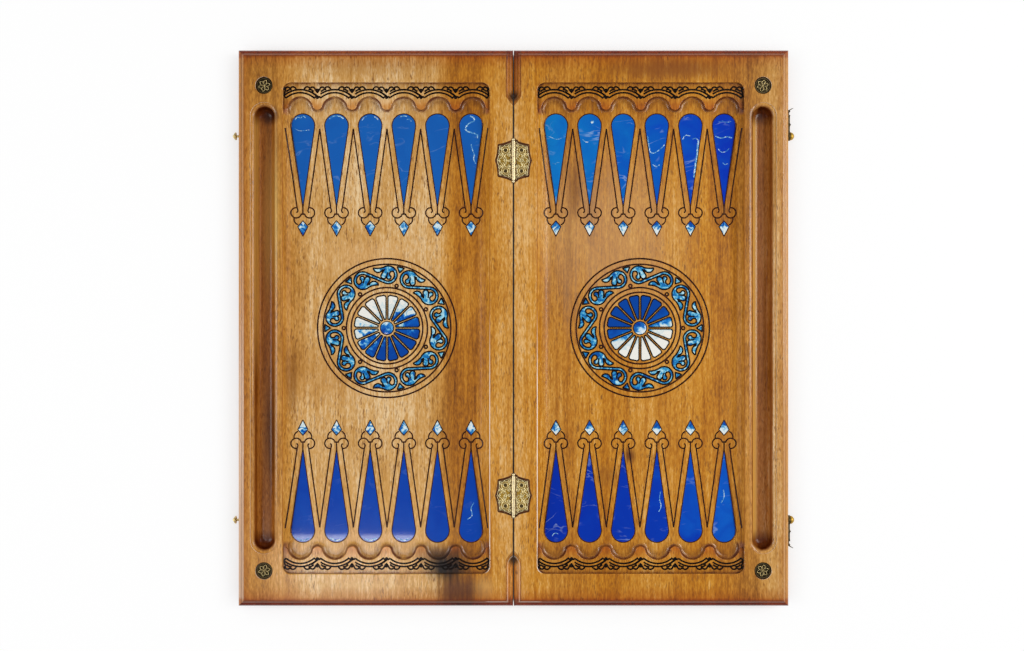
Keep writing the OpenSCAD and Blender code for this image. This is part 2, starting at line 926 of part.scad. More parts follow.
// Half section of a domed head of radius r between two heights
module dome_section(r, low, high) {
    wall = dome_wall * (high - low);
    rise = high - low - wall;
    ball = (r * r + rise * rise) / (2 * rise);
    translate([0, low])
        square([r, wall]);
    intersection() {
        translate([0, high - ball])
            circle(ball, $fn = 128);
        translate([0, low])
            square([r, high - low]);
    }
}

module hook_screw() {
    at_hook() rotate_extrude() {
        translate([0, -edge_screw_l])
            square([edge_screw_r, edge_screw_l + collar_t]);
        square([collar_r, collar_t]);
        square([hook_screw_r, head_in + over / 2]);
        dome_section(hook_head_r, head_in, hook_out);
    }
}

// Mushroom catch: a neck, a button in two steps and a small dome on it
module catch_pin() {
    step_r = 0.8 * catch_r;
    dome_r = 0.55 * catch_r;
    left() at_hook() rotate_extrude() {
        translate([0, -edge_screw_l])
            square([edge_screw_r, edge_screw_l + collar_t]);
        square([2 * neck_r, collar_t]);
        square([neck_r, catch_in + catch_t]);
        translate([0, catch_in])
            square([catch_r, catch_t / 2]);
        translate([0, catch_in])
            square([step_r, catch_t]);
        dome_section(dome_r, catch_in + catch_t / 2, hook_out);
    }
}

module edge_screw_cut() {
    at_hook() translate([0, 0, -edge_screw_l - over])
        cylinder(h = edge_screw_l + 2 * over, r = edge_screw_r + inlay_gap);
}

// Seen square to the edge: eye, swelling stem, notched nose and a narrow tip along +X
module hook_face() {
    difference() {
        union() {
            circle(eye_r);
            translate([hook_screw_r + over, -hook_stem_w / 2])
                square([hook_reach - hook_screw_r - over, hook_stem_w]);
            translate([hook_reach / 2, 0])
                circle(hook_swell_r);
            translate([hook_reach, 0])
                circle(nose_r);
            translate([hook_reach, -tip_w / 2])
                square([nose_r + tip_l, tip_w]);
        }
        circle(hook_screw_r + hook_play);
        // The notch opens on the side that leads when the hook swings up
        translate([hook_reach, 0])
            circle(notch_r);
        translate([hook_reach - notch_r, 0])
            square([2 * notch_r, 2 * nose_r]);
    }
}

// Seen from above: even thickness, a swelling bead and a tip turned out
module hook_profile() {
    tip = hook_reach + nose_r;
    lap = hook_t / 3;
    swell_t = 0.7 * hook_t;
    swell_r = 0.65 * hook_t;
    translate([-eye_r - over, hook_in])
        square([eye_r + over + tip, hook_t]);
    translate([hook_reach / 2, hook_in + swell_t])
        circle(swell_r);
    polygon([
        [tip - lap, hook_in], [tip, hook_in],
        [tip + tip_l, hook_out - hook_t],
        [tip + tip_l, hook_out - hook_t / 2],
        [tip, hook_in + hook_t], [tip - lap, hook_in + hook_t]
    ]);
}

module hook() {
    translate([edge_x, hook_y, hook_z])
        intersection() {
            rotate([90, 0, 90]) linear_extrude(hook_out) hook_face();
            multmatrix([[0, 1, 0, 0], [1, 0, 0, 0], [0, 0, 1, 0], [0, 0, 0, 1]])
                linear_extrude(4 * eye_r, center = true) hook_profile();
        }
}

// Wooden halves

module panel() {
    color("peru") difference() {
        blank();
        field_cut();
        trough_cut();
        inlay_pockets();
        both_ends() {
            seam_bead();
            button_cut();
            hinge_cuts();
            edge_screw_cut();
        }
    }
}

// Pieces

module right_panel() panel();
module left_panel() left() panel();

module right_upper_points() color("royalblue") point_row() inlay() point_outline();
module right_lower_points() lower() right_upper_points();
module left_upper_points() left() right_upper_points();
module left_lower_points() left() right_lower_points();

module right_upper_diamonds() color("deepskyblue") diamond_row() inlay() diamond_outline();
module right_lower_diamonds() lower() right_upper_diamonds();
module left_upper_diamonds() left() right_upper_diamonds();
module left_lower_diamonds() left() right_lower_diamonds();

module right_petals() color("skyblue") at_medallion() inlay() petal_ring();
module left_petals() left() right_petals();

module right_hub() {
    ball = (hub_r * hub_r + hub_rise * hub_rise) / (2 * hub_rise);
    color("dodgerblue") at_medallion()
        translate([0, 0, floor_z - inlay_d])
            rotate_extrude() intersection() {
                square([hub_r, inlay_d + hub_rise]);
                translate([0, inlay_d + hub_rise - ball])
                    circle(ball, $fn = 256);
            }
}
module left_hub() left() right_hub();

module right_scrolls() color("steelblue") at_medallion() inlay() scroll_ring();
module left_scrolls() left() right_scrolls();

module right_triangles() color("steelblue") at_medallion() inlay() triangle_ring();
module left_triangles() left() right_triangles();

module right_upper_button() color("darkslategray") button();
module right_lower_button() lower() right_upper_button();
module left_upper_button() left() right_upper_button();
module left_lower_button() left() right_lower_button();

module upper_hinge_right_leaf() color("gold") leaf(0);
module upper_hinge_left_leaf() color("gold") left() leaf(1);
module lower_hinge_right_leaf() lower() upper_hinge_right_leaf();
module lower_hinge_left_leaf() lower() upper_hinge_left_leaf();

module upper_hinge_pin() color("goldenrod") hinge_pin();
module lower_hinge_pin() lower() upper_hinge_pin();
module upper_hinge_cap() color("goldenrod") hinge_cap();
module lower_hinge_cap() lower() upper_hinge_cap();

module right_hinge_screws() color("darkgoldenrod") both_ends() hinge_screw_pair();
module left_hinge_screws() left() right_hinge_screws();

module upper_hook() color("dimgray") hook();
module lower_hook() lower() upper_hook();
module upper_hook_screw() color("darkgoldenrod") hook_screw();
module lower_hook_screw() lower() upper_hook_screw();
module upper_catch() color("darkgoldenrod") catch_pin();
module lower_catch() lower() upper_catch();

right_panel();
left_panel();
right_upper_points();
right_lower_points();
left_upper_points();
left_lower_points();
right_upper_diamonds();
right_lower_diamonds();
left_upper_diamonds();
left_lower_diamonds();
right_petals();
left_petals();
right_hub();
left_hub();
right_scrolls();
left_scrolls();
right_triangles();
left_triangles();
right_upper_button();
right_lower_button();
left_upper_button();
left_lower_button();
upper_hinge_right_leaf();
upper_hinge_left_leaf();
lower_hinge_right_leaf();
lower_hinge_left_leaf();
upper_hinge_pin();
lower_hinge_pin();
upper_hinge_cap();
lower_hinge_cap();
right_hinge_screws();
left_hinge_screws();
upper_hook();
lower_hook();
upper_hook_screw();
lower_hook_screw();
upper_catch();
lower_catch();
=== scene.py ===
"""Looks of the folding backgammon board: stained and lacquered wood, poured resin inlays,
burnt lines and aged cast brass, on a white studio floor."""

import math

import bmesh
import bpy
from mathutils import Matrix, Vector
from mathutils.bvhtree import BVHTree


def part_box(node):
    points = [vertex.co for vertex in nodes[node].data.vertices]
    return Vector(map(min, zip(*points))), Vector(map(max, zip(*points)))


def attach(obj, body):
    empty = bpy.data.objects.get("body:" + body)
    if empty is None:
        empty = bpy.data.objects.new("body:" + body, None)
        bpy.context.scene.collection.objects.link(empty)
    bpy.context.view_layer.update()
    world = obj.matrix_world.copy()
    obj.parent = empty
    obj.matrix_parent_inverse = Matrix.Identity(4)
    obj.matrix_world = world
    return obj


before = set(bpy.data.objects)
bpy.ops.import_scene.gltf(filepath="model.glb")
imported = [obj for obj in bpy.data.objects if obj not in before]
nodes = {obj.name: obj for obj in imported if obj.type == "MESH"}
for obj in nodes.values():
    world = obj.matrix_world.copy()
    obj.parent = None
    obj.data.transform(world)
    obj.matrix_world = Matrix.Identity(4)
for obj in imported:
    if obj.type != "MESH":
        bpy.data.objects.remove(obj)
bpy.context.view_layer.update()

MM = 0.001
HALVES = {"right": 1, "left": -1}
ENDS = {"upper": 1, "lower": -1}


# ---------------------------------------------------------------- sizes, in mm


def edges(node):
    """Lowest and highest corner of a CAD node, in mm."""
    low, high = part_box(node)
    return low / MM, high / MM


points_low, points_high = edges("right_upper_points")
petals_low, petals_high = edges("right_petals")

edge_x, end_y, rim_z = edges("right_panel")[1]
bead_w = 7.2
floor_z = points_high.z
frieze_z = floor_z + 5
trough_z = floor_z - 6

points_in_row = 6
point_r = 12.8
point_pitch = (points_high.x - points_low.x - 2 * point_r) / (points_in_row - 1)
first_point_x = points_low.x + point_r
field_x = (petals_low.x + petals_high.x) / 2
point_tip_y = points_low.y
point_head_y = points_high.y - point_r
# Where the moulding along the seam starts to narrow to a point, and by how much with each mm
seam_foot_y = 249
seam_foot_taper = 0.75

# Burnt lines
line_w = 1.55
outline_w = 1.15
fine_line_w = 1.5
circle_line_w = 1.8
scroll_line_w = 1.7
frieze_line_w = 1.9
mortise_line_w = 3.6
line_rise = 0.07
vein_rise = 0.03

# Lines round one point: a V, two volutes and two ears
v_top = (18.2, 215.6)
v_foot = (6.3, 129.9)
volute_x = 7.15
volute_r = 5.55
volute_y = 124.65
stem_foot_y = 122.8
stem_overlap = 1.5
ear_top = (9.3, 119.6)
ear_foot_y = 111.7

# Medallion circles and eyelets
circle_rs = (38.7, 43.8, 69, 75.1)
eyelet_r = 1.7
eyelet_circle_r = 46.7
scroll_count = 7
scroll_ring_r = 57.6
curl_angle = 14.2
# Whether a scroll's first leaf lies on the ring's outer edge
leaf_order = (True, False, True, True, False, True, False)
outer_leaf_turn = 9

# Frieze: double arcs over the arches, tied at the drops between them
arch_pitch = 37.2
outer_arc_y = 256.8
outer_arc_r = 26.5
inner_arc_y = 253.5
inner_arc_r = 23
knot_y = 255.8
knot_w = 2.3
# The outer band starts this far past a drop, or past the first end, and runs over the next drop
band_gap = 3.4
first_band_gap = 1.2
band_overlap = 1.6
inner_band_gaps = (3.9, 2.9)

# Cast relief on the hinge leaves, and the screws and plugs it goes round
leaf_top = 24.9
relief_rise = 0.2
relief_w = 0.95
border_w = 0.8
screw_x, screw_y = 8.6, 11.2
boss_rs = (2.5, 4.4)
leaf_middle_x = 9.5
border_share = (0.93, 0.95)

# Cast rosette on the buttons
rosette_petals = 6
rosette_turn = 15
rosette_w = 0.6
rosette_rise = 0.4
rosette_drop = 0.42
button_ring_rs = (0.7, 7.6)

# Pale veins in the poured points, and painted glints along the edges of their round heads: the row,
# the point from left, the width, and the path about the centre of the point's round head, outwards
# up
PALE_VEINS_AND_GLINTS = (
    ("left_upper", 0, 1.1, [(-8.5, 6.2), (-6.3, 9.2), (-2.8, 8.4)]),
    ("left_upper", 0, 1.1, [(-2.6, 8.2), (0.2, 10.4), (2.6, 8.6)]),
    ("left_upper", 0, 0.5, [(-9, -3), (-4, -5.4), (2, -5.2), (7, -4.6)]),
    ("left_upper", 1, 1.5, [(-7.6, 7.6), (-3.8, 10.1), (0, 10.6), (4.2, 9.8), (7.4, 7.6)]),
    ("left_upper", 2, 0.8, [(-9, 5.6), (-7.2, 8.2), (-4, 10)]),
    ("left_upper", 2, 0.8, [(4.4, 9.8), (7.4, 8), (9, 5.6)]),
    ("left_upper", 3, 1.3, [(-3.4, 10), (0, 10.6), (3.4, 10)]),
    ("left_upper", 3, 0.8, [(3, 6.6), (6, 7), (8.4, 4.6)]),
    ("left_upper", 5, 1.5, [(-1.1, 10.6), (3.8, 6.4), (-3.2, 1.8), (-5.6, -4.2), (1, -7.7),
                            (6.6, -10), (7.2, -13.4)]),
    ("left_upper", 5, 1.1, [(0, -20), (1.2, -25), (3.4, -31.5), (2.8, -36), (5, -41)]),
    ("right_upper", 0, 0.6, [(-9.4, -11), (-5, -12.6), (0, -14.6), (6, -13.6)]),
    ("right_upper", 0, 0.6, [(-4.4, -40), (-1, -41.6), (1.6, -39.8), (3.4, -40)]),
    ("right_upper", 1, 2.6, [(1.6, 2.8), (4.4, 5)]),
    ("right_upper", 1, 0.8, [(-7.4, -15), (-4.4, -17.4), (-1.6, -17.8)]),
    ("right_upper", 3, 1.1, [(-10, -11), (-8.4, -22), (-5.4, -29.6), (2, -26.6), (8.4, -20.6)]),
    ("right_upper", 3, 0.9, [(-4.4, -42), (-1, -44), (3, -42.4)]),
    ("right_upper", 4, 0.9, [(-8.6, -15), (-5.4, -10.6), (0, -11)]),
    ("right_upper", 4, 1.9, [(8.8, -16), (7.6, -24), (7.2, -32), (5.6, -40), (4.8, -48),
                             (3.8, -56)]),
    ("right_upper", 4, 0.9, [(8.8, -16), (5.4, -13.4), (2.6, -15)]),
    ("right_upper", 5, 1.1, [(-9.4, -11.4), (-3, -13.4), (2.6, -12), (8.6, -13)]),
    ("right_upper", 5, 0.8, [(-6.4, -25), (-3, -28.4), (1.6, -28), (5.4, -24.6)]),
    ("right_upper", 5, 0.7, [(-1.6, -40), (1, -42), (4, -41)]),
    ("right_upper", 5, 0.6, [(-5.6, 4), (-2, 5), (3, 3.6), (7.4, 4.6)]),
    ("left_lower", 0, 1.1, [(-6.4, 8.4), (0, 10.7), (6.4, 8.4)]),
    ("left_lower", 1, 1.3, [(-6.8, 8.2), (0, 10.7), (5, 9.4)]),
    ("left_lower", 2, 1.3, [(-5, 9.4), (0, 10.7), (6.8, 8.2)]),
    ("left_lower", 3, 1.1, [(-6.4, 8.4), (0, 10.7), (6.4, 8.4)]),
    ("left_lower", 5, 0.9, [(-4, -12), (1, -16), (0, -24), (3, -30)]),
    ("right_lower", 3, 0.9, [(2, -20), (4.6, -26), (3, -34), (4, -42)]),
    ("right_lower", 0, 0.8, [(-4, 6), (-1.6, 3), (2, 3.4)]),
    ("right_lower", 5, 1.0, [(-3, -30), (0, -36), (-0.6, -44)]),
)


# ---------------------------------------------------------------- materials


def tone(code):
    """An sRGB hex colour as linear red, green, blue and alpha."""
    parts = [int(code[i : i + 2], 16) / 255 for i in (1, 3, 5)]
    return [p / 12.92 if p <= 0.04045 else ((p + 0.055) / 1.055) ** 2.4 for p in parts] + [1.0]


def add(tree, kind, inputs=None, stops=None, **settings):
    """Adds one node with its settings, colour stops, values and links."""
    node = tree.nodes.new("ShaderNode" + kind)
    for name, value in settings.items():
        setattr(node, name, value)
    if stops:
        ramp = node.color_ramp.elements
        while len(ramp) < len(stops):
            ramp.new(1.0)
        for element, (place, colour) in zip(ramp, stops):
            element.position = place
            element.color = tone(colour) if isinstance(colour, str) else [colour] * 3 + [1.0]
    for name, value in (inputs or {}).items():
        if isinstance(value, bpy.types.NodeSocket):
            tree.links.new(value, node.inputs[name])
        else:
            node.inputs[name].default_value = value
    return node


def finish_named(name, **sockets):
    """A new material with plain numbers on its shader, its tree, its shader and its place in mm."""
    material = bpy.data.materials.new(name)
    material.use_nodes = True
    tree = material.node_tree
    shader = tree.nodes["Principled BSDF"]
    for socket, value in sockets.items():
        shader.inputs[socket.replace("_", " ")].default_value = value
    place = add(tree, "TexCoord").outputs["Object"]
    in_mm = add(tree, "Mapping", {"Vector": place, "Scale": (1000, 1000, 1000)}).outputs["Vector"]
    return material, tree, shader, in_mm


# The glued staves from left to right: X in mm, tone (0 dark, 1 light) and warmth (0 tan, 1 orange)
STAVES = (
    (-297, 0.58, 0.6), (-280, 0.50, 0.6), (-262, 0.44, 0.5), (-245, 0.52, 0.6), (-225, 0.66, 0.2),
    (-190, 0.70, 0.1), (-140, 0.72, 0.1), (-85, 0.68, 0.2), (-66, 0.44, 0.9), (-42, 0.40, 0.9),
    (-24, 0.66, 0.9), (0, 0.74, 0.7), (24, 0.64, 1.0), (45, 0.5, 0.8), (95, 0.51, 1.0),
    (150, 0.58, 0.9), (205, 0.60, 1.0), (232, 0.46, 0.9), (262, 0.50, 0.5), (280, 0.68, 0.2),
    (297, 0.76, 0.0),
)
# Marks in the stain, and painted shade: X, Y, half width, half length, strength and colour
MARKS_AND_PAINTED_SHADE = (
    # Paler by the seam on the right field, honey on the left one
    (100, 100, 110, 130, 0.3, "#d8b488"),
    (-200, -50, 85, 40, 0.3, "#b0762c"),
    # Knots and streaks in the fields
    (126, -138, 8, 12, 0.85, "#5a2808"),
    (104, -160, 26, 16, 0.35, "#7a4414"),
    (66, 150, 9, 46, 0.6, "#6a3a18"),
    (60, 90, 7, 60, 0.30, "#7a4a24"),
    (-239, -60, 7, 60, 0.5, "#6e3c12"),
    # Painted shade in the notches where the moulding along the seam ends
    (0, 249, 8, 9, 0.9, "#220c04"),
    (0, -249, 8, 9, 0.9, "#220c04"),
    # A pale and a dark stretch of the left trough, and painted shade at the far ends of both
    (-263, 120, 14, 120, 0.7, "#dbb65f"),
    (-263, -112, 11, 82, 0.6, "#4a1e06"),
    (-262, 230, 14, 12, 0.6, "#402010"),
    (262, 230, 14, 12, 0.5, "#402010"),
    # Brown, honey and pale patches on the rims and the left field
    (170, 278, 95, 16, 0.85, "#844812"),
    (-150, 280, 110, 14, 0.35, "#966022"),
    (-150, -215, 130, 70, 0.3, "#dca048"),
    (-160, -278, 60, 14, 0.18, "#e8bf88"),
    (-150, 78, 70, 26, 0.25, "#e0b078"),
    # A scorch mark over brown heartwood, by the near end of the seam
    (-32, -282, 18, 22, 0.5, "#dcac64"),
    (-61, -281, 34, 28, 0.9, "#5a3420"),
    (-79, -245, 36, 17, 0.75, "#5a3010"),
    (-73, -257, 31, 22, 1.0, "#1a0f0a"),
)


# Noise in the grain: width across it, length along it, in mm, detail and distortion
GRAIN_LAYERS = {
    "patch": (55, 130, 3.0, 0.5),
    "figure": (9, 260, 4.0, 0.6),
    "streak": (2.4, 60, 5.0, 0.2),
    "fleck": (1.6, 6, 3.0, 0.0),
    "pore": (1.1, 7, 1.0, 0.0),
    "pore_field": (14, 40, 2.0, 0.0),
}
GRAIN_SHARES = {"patch": 0.65, "figure": 0.6, "streak": 0.6, "fleck": 0.75}
TONE_PLACES = (0.08, 0.3, 0.5, 0.7, 0.95)
TAN_TONES = ("#6e4416", "#a0702c", "#be8b44", "#d0a262", "#e8ca9c")
ORANGE_TONES = ("#5e3004", "#935406", "#b4700e", "#ca8a26", "#e2b068")

# Painted shade deep in the troughs, and a darker tone near the mouldings: what is measured, where
# it starts, where it is full, and its tint
SHADE_AND_TONE_GRADIENTS = (
    ("z", floor_z - 0.8, trough_z + 1.5, "#f4e4dc"),
    ("far_y", end_y - bead_w - 15, end_y - bead_w, "#e0bc8c"),
    ("far_x", edge_x - bead_w - 9, edge_x - bead_w, "#e6cda0"),
)
# Parts of the carving: what is measured, where the part starts and from where on it is full. far_x
# and far_y are distances from the middle, to_side and to_end from the outer edges, and facing_up is
# how level the surface is. The near side is the one towards -Y
PARTS = {
    "field": ("far_x", 252.5, 252),
    "arches": ("far_y", 229, 233),
    "past_field": ("far_y", 266, 268),
    "coves": ("far_y", 233, 229),
    "foot": ("far_y", 248, 239),
    "above_floor": ("z", floor_z + 2.5, floor_z + 4),
    "rim": ("z", rim_z - 1.4, rim_z - 0.7),
    "sunk": ("z", rim_z - 1.5, rim_z - 4),
    "moulded": ("z", rim_z - bead_w - 1.4, rim_z - bead_w - 0.4),
    "side_mould": ("far_x", edge_x - bead_w - 0.3, edge_x - bead_w + 0.3),
    "end_mould": ("far_y", end_y - bead_w - 0.3, end_y - bead_w + 0.3),
    "by_end_mould": ("far_y", end_y - bead_w - 3, end_y - bead_w),
    "trough_end": ("far_y", 218, 230),
    "trough_floor": ("z", floor_z - 0.8, trough_z + 1.5),
    # The left walls of the troughs, where painted light goes
    "right_worn_wall": ("x", 258, 259.5),
    "past_right_worn_wall": ("x", 263, 266),
    "left_worn_wall": ("x", -274.5, -278.5),
    "near": ("y", 20, -60),
    "left": ("x", 0, -1),
    "off_seam": ("far_x", 20, 22),
    "by_seam": ("far_x", 31, 27),
    "seam": ("far_x", 1.05, 0.75),
    "seam_top": ("z", rim_z - 3, rim_z - 1.5),
    "spine": ("far_x", 1.5, 1.0),
    "seam_mould": ("seam_foot", 8.4, 8.0),
    "under": ("facing_up", -0.3, -0.6),
    "cut": ("facing_up", 0.995, 0.93),
}
# Narrow lines: what is measured, the middle of the line and half its width, in mm
LINES = {
    "side_quirk": ("to_side", 4.3, 0.45),
    "end_quirk": ("to_end", 4.3, 0.45),
    "side_step": ("to_side", 7.3, 0.4),
    "end_step": ("to_end", 7.3, 0.4),
    "side_bead": ("to_side", 5.8, 0.6),
    "end_bead": ("to_end", 5.8, 0.6),
    "seam_lip": ("far_x", 25.5, 0.6),
    "trough_lip": ("far_x", 248.3, 0.6),
    "seam_mould_edge": ("seam_foot", 7.9, 0.5),
}
# Parts that are where others meet
MEETINGS = {
    "ends": "field arches not_past_field not_rim",
    "arched": "ends off_seam",
    "beside_field": "not_field not_side_mould not_end_mould",
    "trough": "beside_field sunk",
    "near_lip": "near by_seam",
    "field_cove": "field coves",
    "seam_face": "spine not_moulded",
}
# Stains, with painted shade and highlights among them, in the order they went on: where, how
# strong, the colour and how it lies on the wood
STAINS_AND_PAINTED_LIGHT = (
    # Honey on the side mouldings, with a painted highlight on the near left; brown on the end
    # mouldings, with painted shade on the near one
    ("side_mould side_part moulded", 0.45, "#cc9044", "MIX"),
    ("side_mould side_part moulded near left", 0.3, "#f2e2d4", "MIX"),
    ("by_end_mould moulded", 1, "#dcb080", "MULTIPLY"),
    ("end_mould end_part moulded", 1, "#e8c98c", "MULTIPLY"),
    ("end_mould end_part moulded near", 1, "#d4b494", "MULTIPLY"),
    # Painted shade in the quirks and along the step of the moulding, and a painted highlight along
    # its small bead
    ("side_quirk side_part", 0.65, "#7c4a22", "MIX"),
    ("end_quirk end_part", 0.65, "#7c4a22", "MIX"),
    ("side_step side_part", 0.5, "#8a5426", "MIX"),
    ("end_step end_part", 0.5, "#8a5426", "MIX"),
    ("side_bead side_part", 0.27, "#b08e70", "MIX"),
    ("end_bead end_part", 0.27, "#b08e70", "MIX"),
    # The feet between the arches are darker towards their tips
    ("arched foot above_floor", 1, "#f0cfa4", "MULTIPLY"),
    # Painted shade in the troughs, deepest on the walls and at the ends, and painted light on their
    # left walls
    ("trough not_trough_floor", 1, "#b08c70", "MULTIPLY"),
    ("trough trough_floor", 1, "#ecdcc8", "MULTIPLY"),
    ("trough right_worn_wall not_past_right_worn_wall", 0.85, "#d8a24e", "MIX"),
    ("trough left_worn_wall not_near", 0.65, "#cc9848", "MIX"),
    ("trough trough_end", 1, "#a07c64", "MULTIPLY"),
    # A dark line down each side of the fields, and painted shade down the seam
    ("seam_lip coves", 0.5, "#9a5a20", "MIX"),
    ("trough_lip coves", 0.5, "#9a5a20", "MIX"),
    ("seam seam_top", 1, "#2c140a", "MULTIPLY"),
    # Orange stain with a dark edge where the moulding turns in along the seam
    ("seam_mould", 1, "#f6dca6", "MULTIPLY"),
    ("seam_mould not_near", 1, "#dfd2ae", "MULTIPLY"),
    ("seam_mould_edge", 0.6, "#70401c", "MIX"),
    # Painted shade on the carved walls round the arches and in their corners, uneven
    ("arched deep uneven", 1, "#7c523a", "MULTIPLY"),
    # Painted highlights along the lips of the troughs, and by the seam on the near side
    ("rolled rim lips", 1, "#fff2e0", "MIX"),
)


def wood_grain(tree, mm, across):
    """Flat-sawn staves before any stain, with long grain and fine dark pores, and their noise."""
    noise = {}
    for layer, (width, length, detail, distortion) in GRAIN_LAYERS.items():
        at = add(tree, "Mapping", {"Vector": mm, "Scale": (1 / width, 1 / length, 1 / width)})
        texture = {"Scale": 1.0, "Detail": detail, "Distortion": distortion, "Roughness": 0.6}
        noise[layer] = add(tree, "TexNoise", {"Vector": at.outputs[0], **texture}).outputs[0]
    span = add(tree, "MapRange", {"Value": across, "From Min": -edge_x, "From Max": edge_x})
    stave_tone, warmth = (
        add(
            tree,
            "ValToRGB",
            {0: span.outputs[0]},
            stops=[((row[0] + edge_x) / (2 * edge_x), row[i]) for row in STAVES],
        )
        for i in (1, 2)
    )
    total = stave_tone.outputs[0]
    for layer, share in GRAIN_SHARES.items():
        centred = add(tree, "Math", {0: noise[layer], 1: 0.5}, operation="SUBTRACT")
        total = add(
            tree, "Math", {0: centred.outputs[0], 1: share, 2: total}, operation="MULTIPLY_ADD"
        ).outputs[0]
    tan, orange = (
        add(tree, "ValToRGB", {0: total}, stops=list(zip(TONE_PLACES, tones)))
        for tones in (TAN_TONES, ORANGE_TONES)
    )
    body = add(
        tree,
        "Mix",
        {0: warmth.outputs[0], 6: tan.outputs[0], 7: orange.outputs[0]},
        data_type="RGBA",
    ).outputs[2]
    # Pores, drawn twice their real width so that they show
    pore = add(tree, "MapRange", {"Value": noise["pore"], "From Min": 0.43, "From Max": 0.33})
    here = add(
        tree,
        "MapRange",
        {
            "Value": noise["pore_field"],
            "From Min": 0.35,
            "From Max": 0.65,
            "To Min": 0.15,
            "To Max": 0.8,
        },
    )
    pores = add(tree, "Math", {0: pore.outputs[0], 1: here.outputs[0]}, operation="MULTIPLY")
    body = add(
        tree, "Mix", {0: pores.outputs[0], 6: body, 7: tone("#7a4a1e")}, data_type="RGBA"
    ).outputs[2]
    return body, noise


def marked(tree, mm, body, ragged_by):
    """The wood with its smudges, scorch, heartwood and painted shade on it, their edges ragged with
    the figure.
    """
    for x, y, half_w, half_l, strength, colour in MARKS_AND_PAINTED_SHADE:
        about = add(
            tree,
            "Mapping",
            {
                "Vector": mm,
                "Location": (-x / half_w, -y / half_l, 0),
                "Scale": (1 / half_w, 1 / half_l, 0),
            },
        )
        away = add(tree, "VectorMath", {0: about.outputs[0]}, operation="LENGTH").outputs["Value"]
        ragged = add(tree, "Math", {0: ragged_by, 1: 0.9, 2: away}, operation="MULTIPLY_ADD")
        mask = add(
            tree,
            "MapRange",
            {"Value": ragged.outputs[0], "From Min": 1.5, "From Max": 0.6, "To Max": strength},
            interpolation_type="SMOOTHSTEP",
        )
        body = add(
            tree, "Mix", {0: mask.outputs[0], 6: body, 7: tone(colour)}, data_type="RGBA"
        ).outputs[2]
    return body


def overlap(tree, masks, names, share=1.0):
    """The share of a place that lies in all the named parts."""
    for name in names.split():
        share = add(tree, "Math", {0: share, 1: masks[name]}, operation="MULTIPLY").outputs[0]
    return share


def carving_masks(tree, place, facing_up, noise):
    """Masks of the parts of the carving, each with its opposite as not_ and its name, and what they
    are measured by."""
    measured = {"x": place.outputs["X"], "y": place.outputs["Y"], "z": place.outputs["Z"]}
    measured["facing_up"] = facing_up
    for far, axis in (("far_x", "X"), ("far_y", "Y")):
        measured[far] = add(tree, "Math", {0: place.outputs[axis]}, operation="ABSOLUTE").outputs[0]
    for gap, edge, far in (("to_side", edge_x, "far_x"), ("to_end", end_y, "far_y")):
        measured[gap] = add(
            tree, "Math", {0: edge, 1: measured[far]}, operation="SUBTRACT"
        ).outputs[0]
    # The moulding along the seam narrows to a point past its foot
    past = add(tree, "Math", {0: seam_foot_y, 1: measured["far_y"]}, operation="SUBTRACT")
    past = add(tree, "Math", {0: past.outputs[0], 1: 0}, operation="MAXIMUM")
    measured["seam_foot"] = add(
        tree,
        "Math",
        {0: past.outputs[0], 1: seam_foot_taper, 2: measured["far_x"]},
        operation="MULTIPLY_ADD",
    ).outputs[0]

    masks = {}
    for part, (value, start, full) in PARTS.items():
        for name, first, last in ((part, start, full), ("not_" + part, full, start)):
            masks[name] = add(
                tree, "MapRange", {"Value": measured[value], "From Min": first, "From Max": last}
            ).outputs[0]
    for part, (value, middle, half_w) in LINES.items():
        masks[part] = add(
            tree, "Math", {0: measured[value], 1: middle, 2: half_w}, operation="COMPARE"
        ).outputs[0]
    # The side and end mouldings meet in a mitre
    for part, near, far in (("side_part", "to_side", "to_end"), ("end_part", "to_end", "to_side")):
        masks[part] = add(
            tree, "Math", {0: measured[near], 1: measured[far]}, operation="LESS_THAN"
        ).outputs[0]
    for part, others in MEETINGS.items():
        masks[part] = overlap(tree, masks, others)
    # Steep walls and tight corners, where shade is painted
    steep = add(
        tree, "MapRange", {"Value": facing_up, "From Min": 0.985, "From Max": 0.65, "To Max": 0.9}
    )
    corner = add(tree, "AmbientOcclusion", {"Distance": 9 * MM}, samples=6)
    corner_shade = add(
        tree, "MapRange", {"Value": corner.outputs["AO"], "From Min": 0.98, "From Max": 0.6}
    )
    masks["uneven"] = add(
        tree,
        "MapRange",
        {
            "Value": noise["figure"],
            "From Min": 0.35,
            "From Max": 0.6,
            "To Min": 0.45,
            "To Max": 1.2,
        },
    ).outputs[0]
    # Sloping faces, where the painted highlights along the lips go
    masks["rolled"] = add(
        tree, "MapRange", {"Value": facing_up, "From Min": 0.97, "From Max": 0.75, "To Max": 0.95}
    ).outputs[0]
    # Parts that are either of two
    for part, first, second in (
        # Painted shade on steep walls and in tight corners
        ("deep", steep.outputs[0], corner_shade.outputs[0]),
        ("lips", masks["beside_field"], masks["near_lip"]),
        ("bare", masks["under"], masks["seam_face"]),
        ("carved", masks["field_cove"], masks["trough"]),
    ):
        masks[part] = add(tree, "Math", {0: first, 1: second}, operation="MAXIMUM").outputs[0]
    return masks, measured


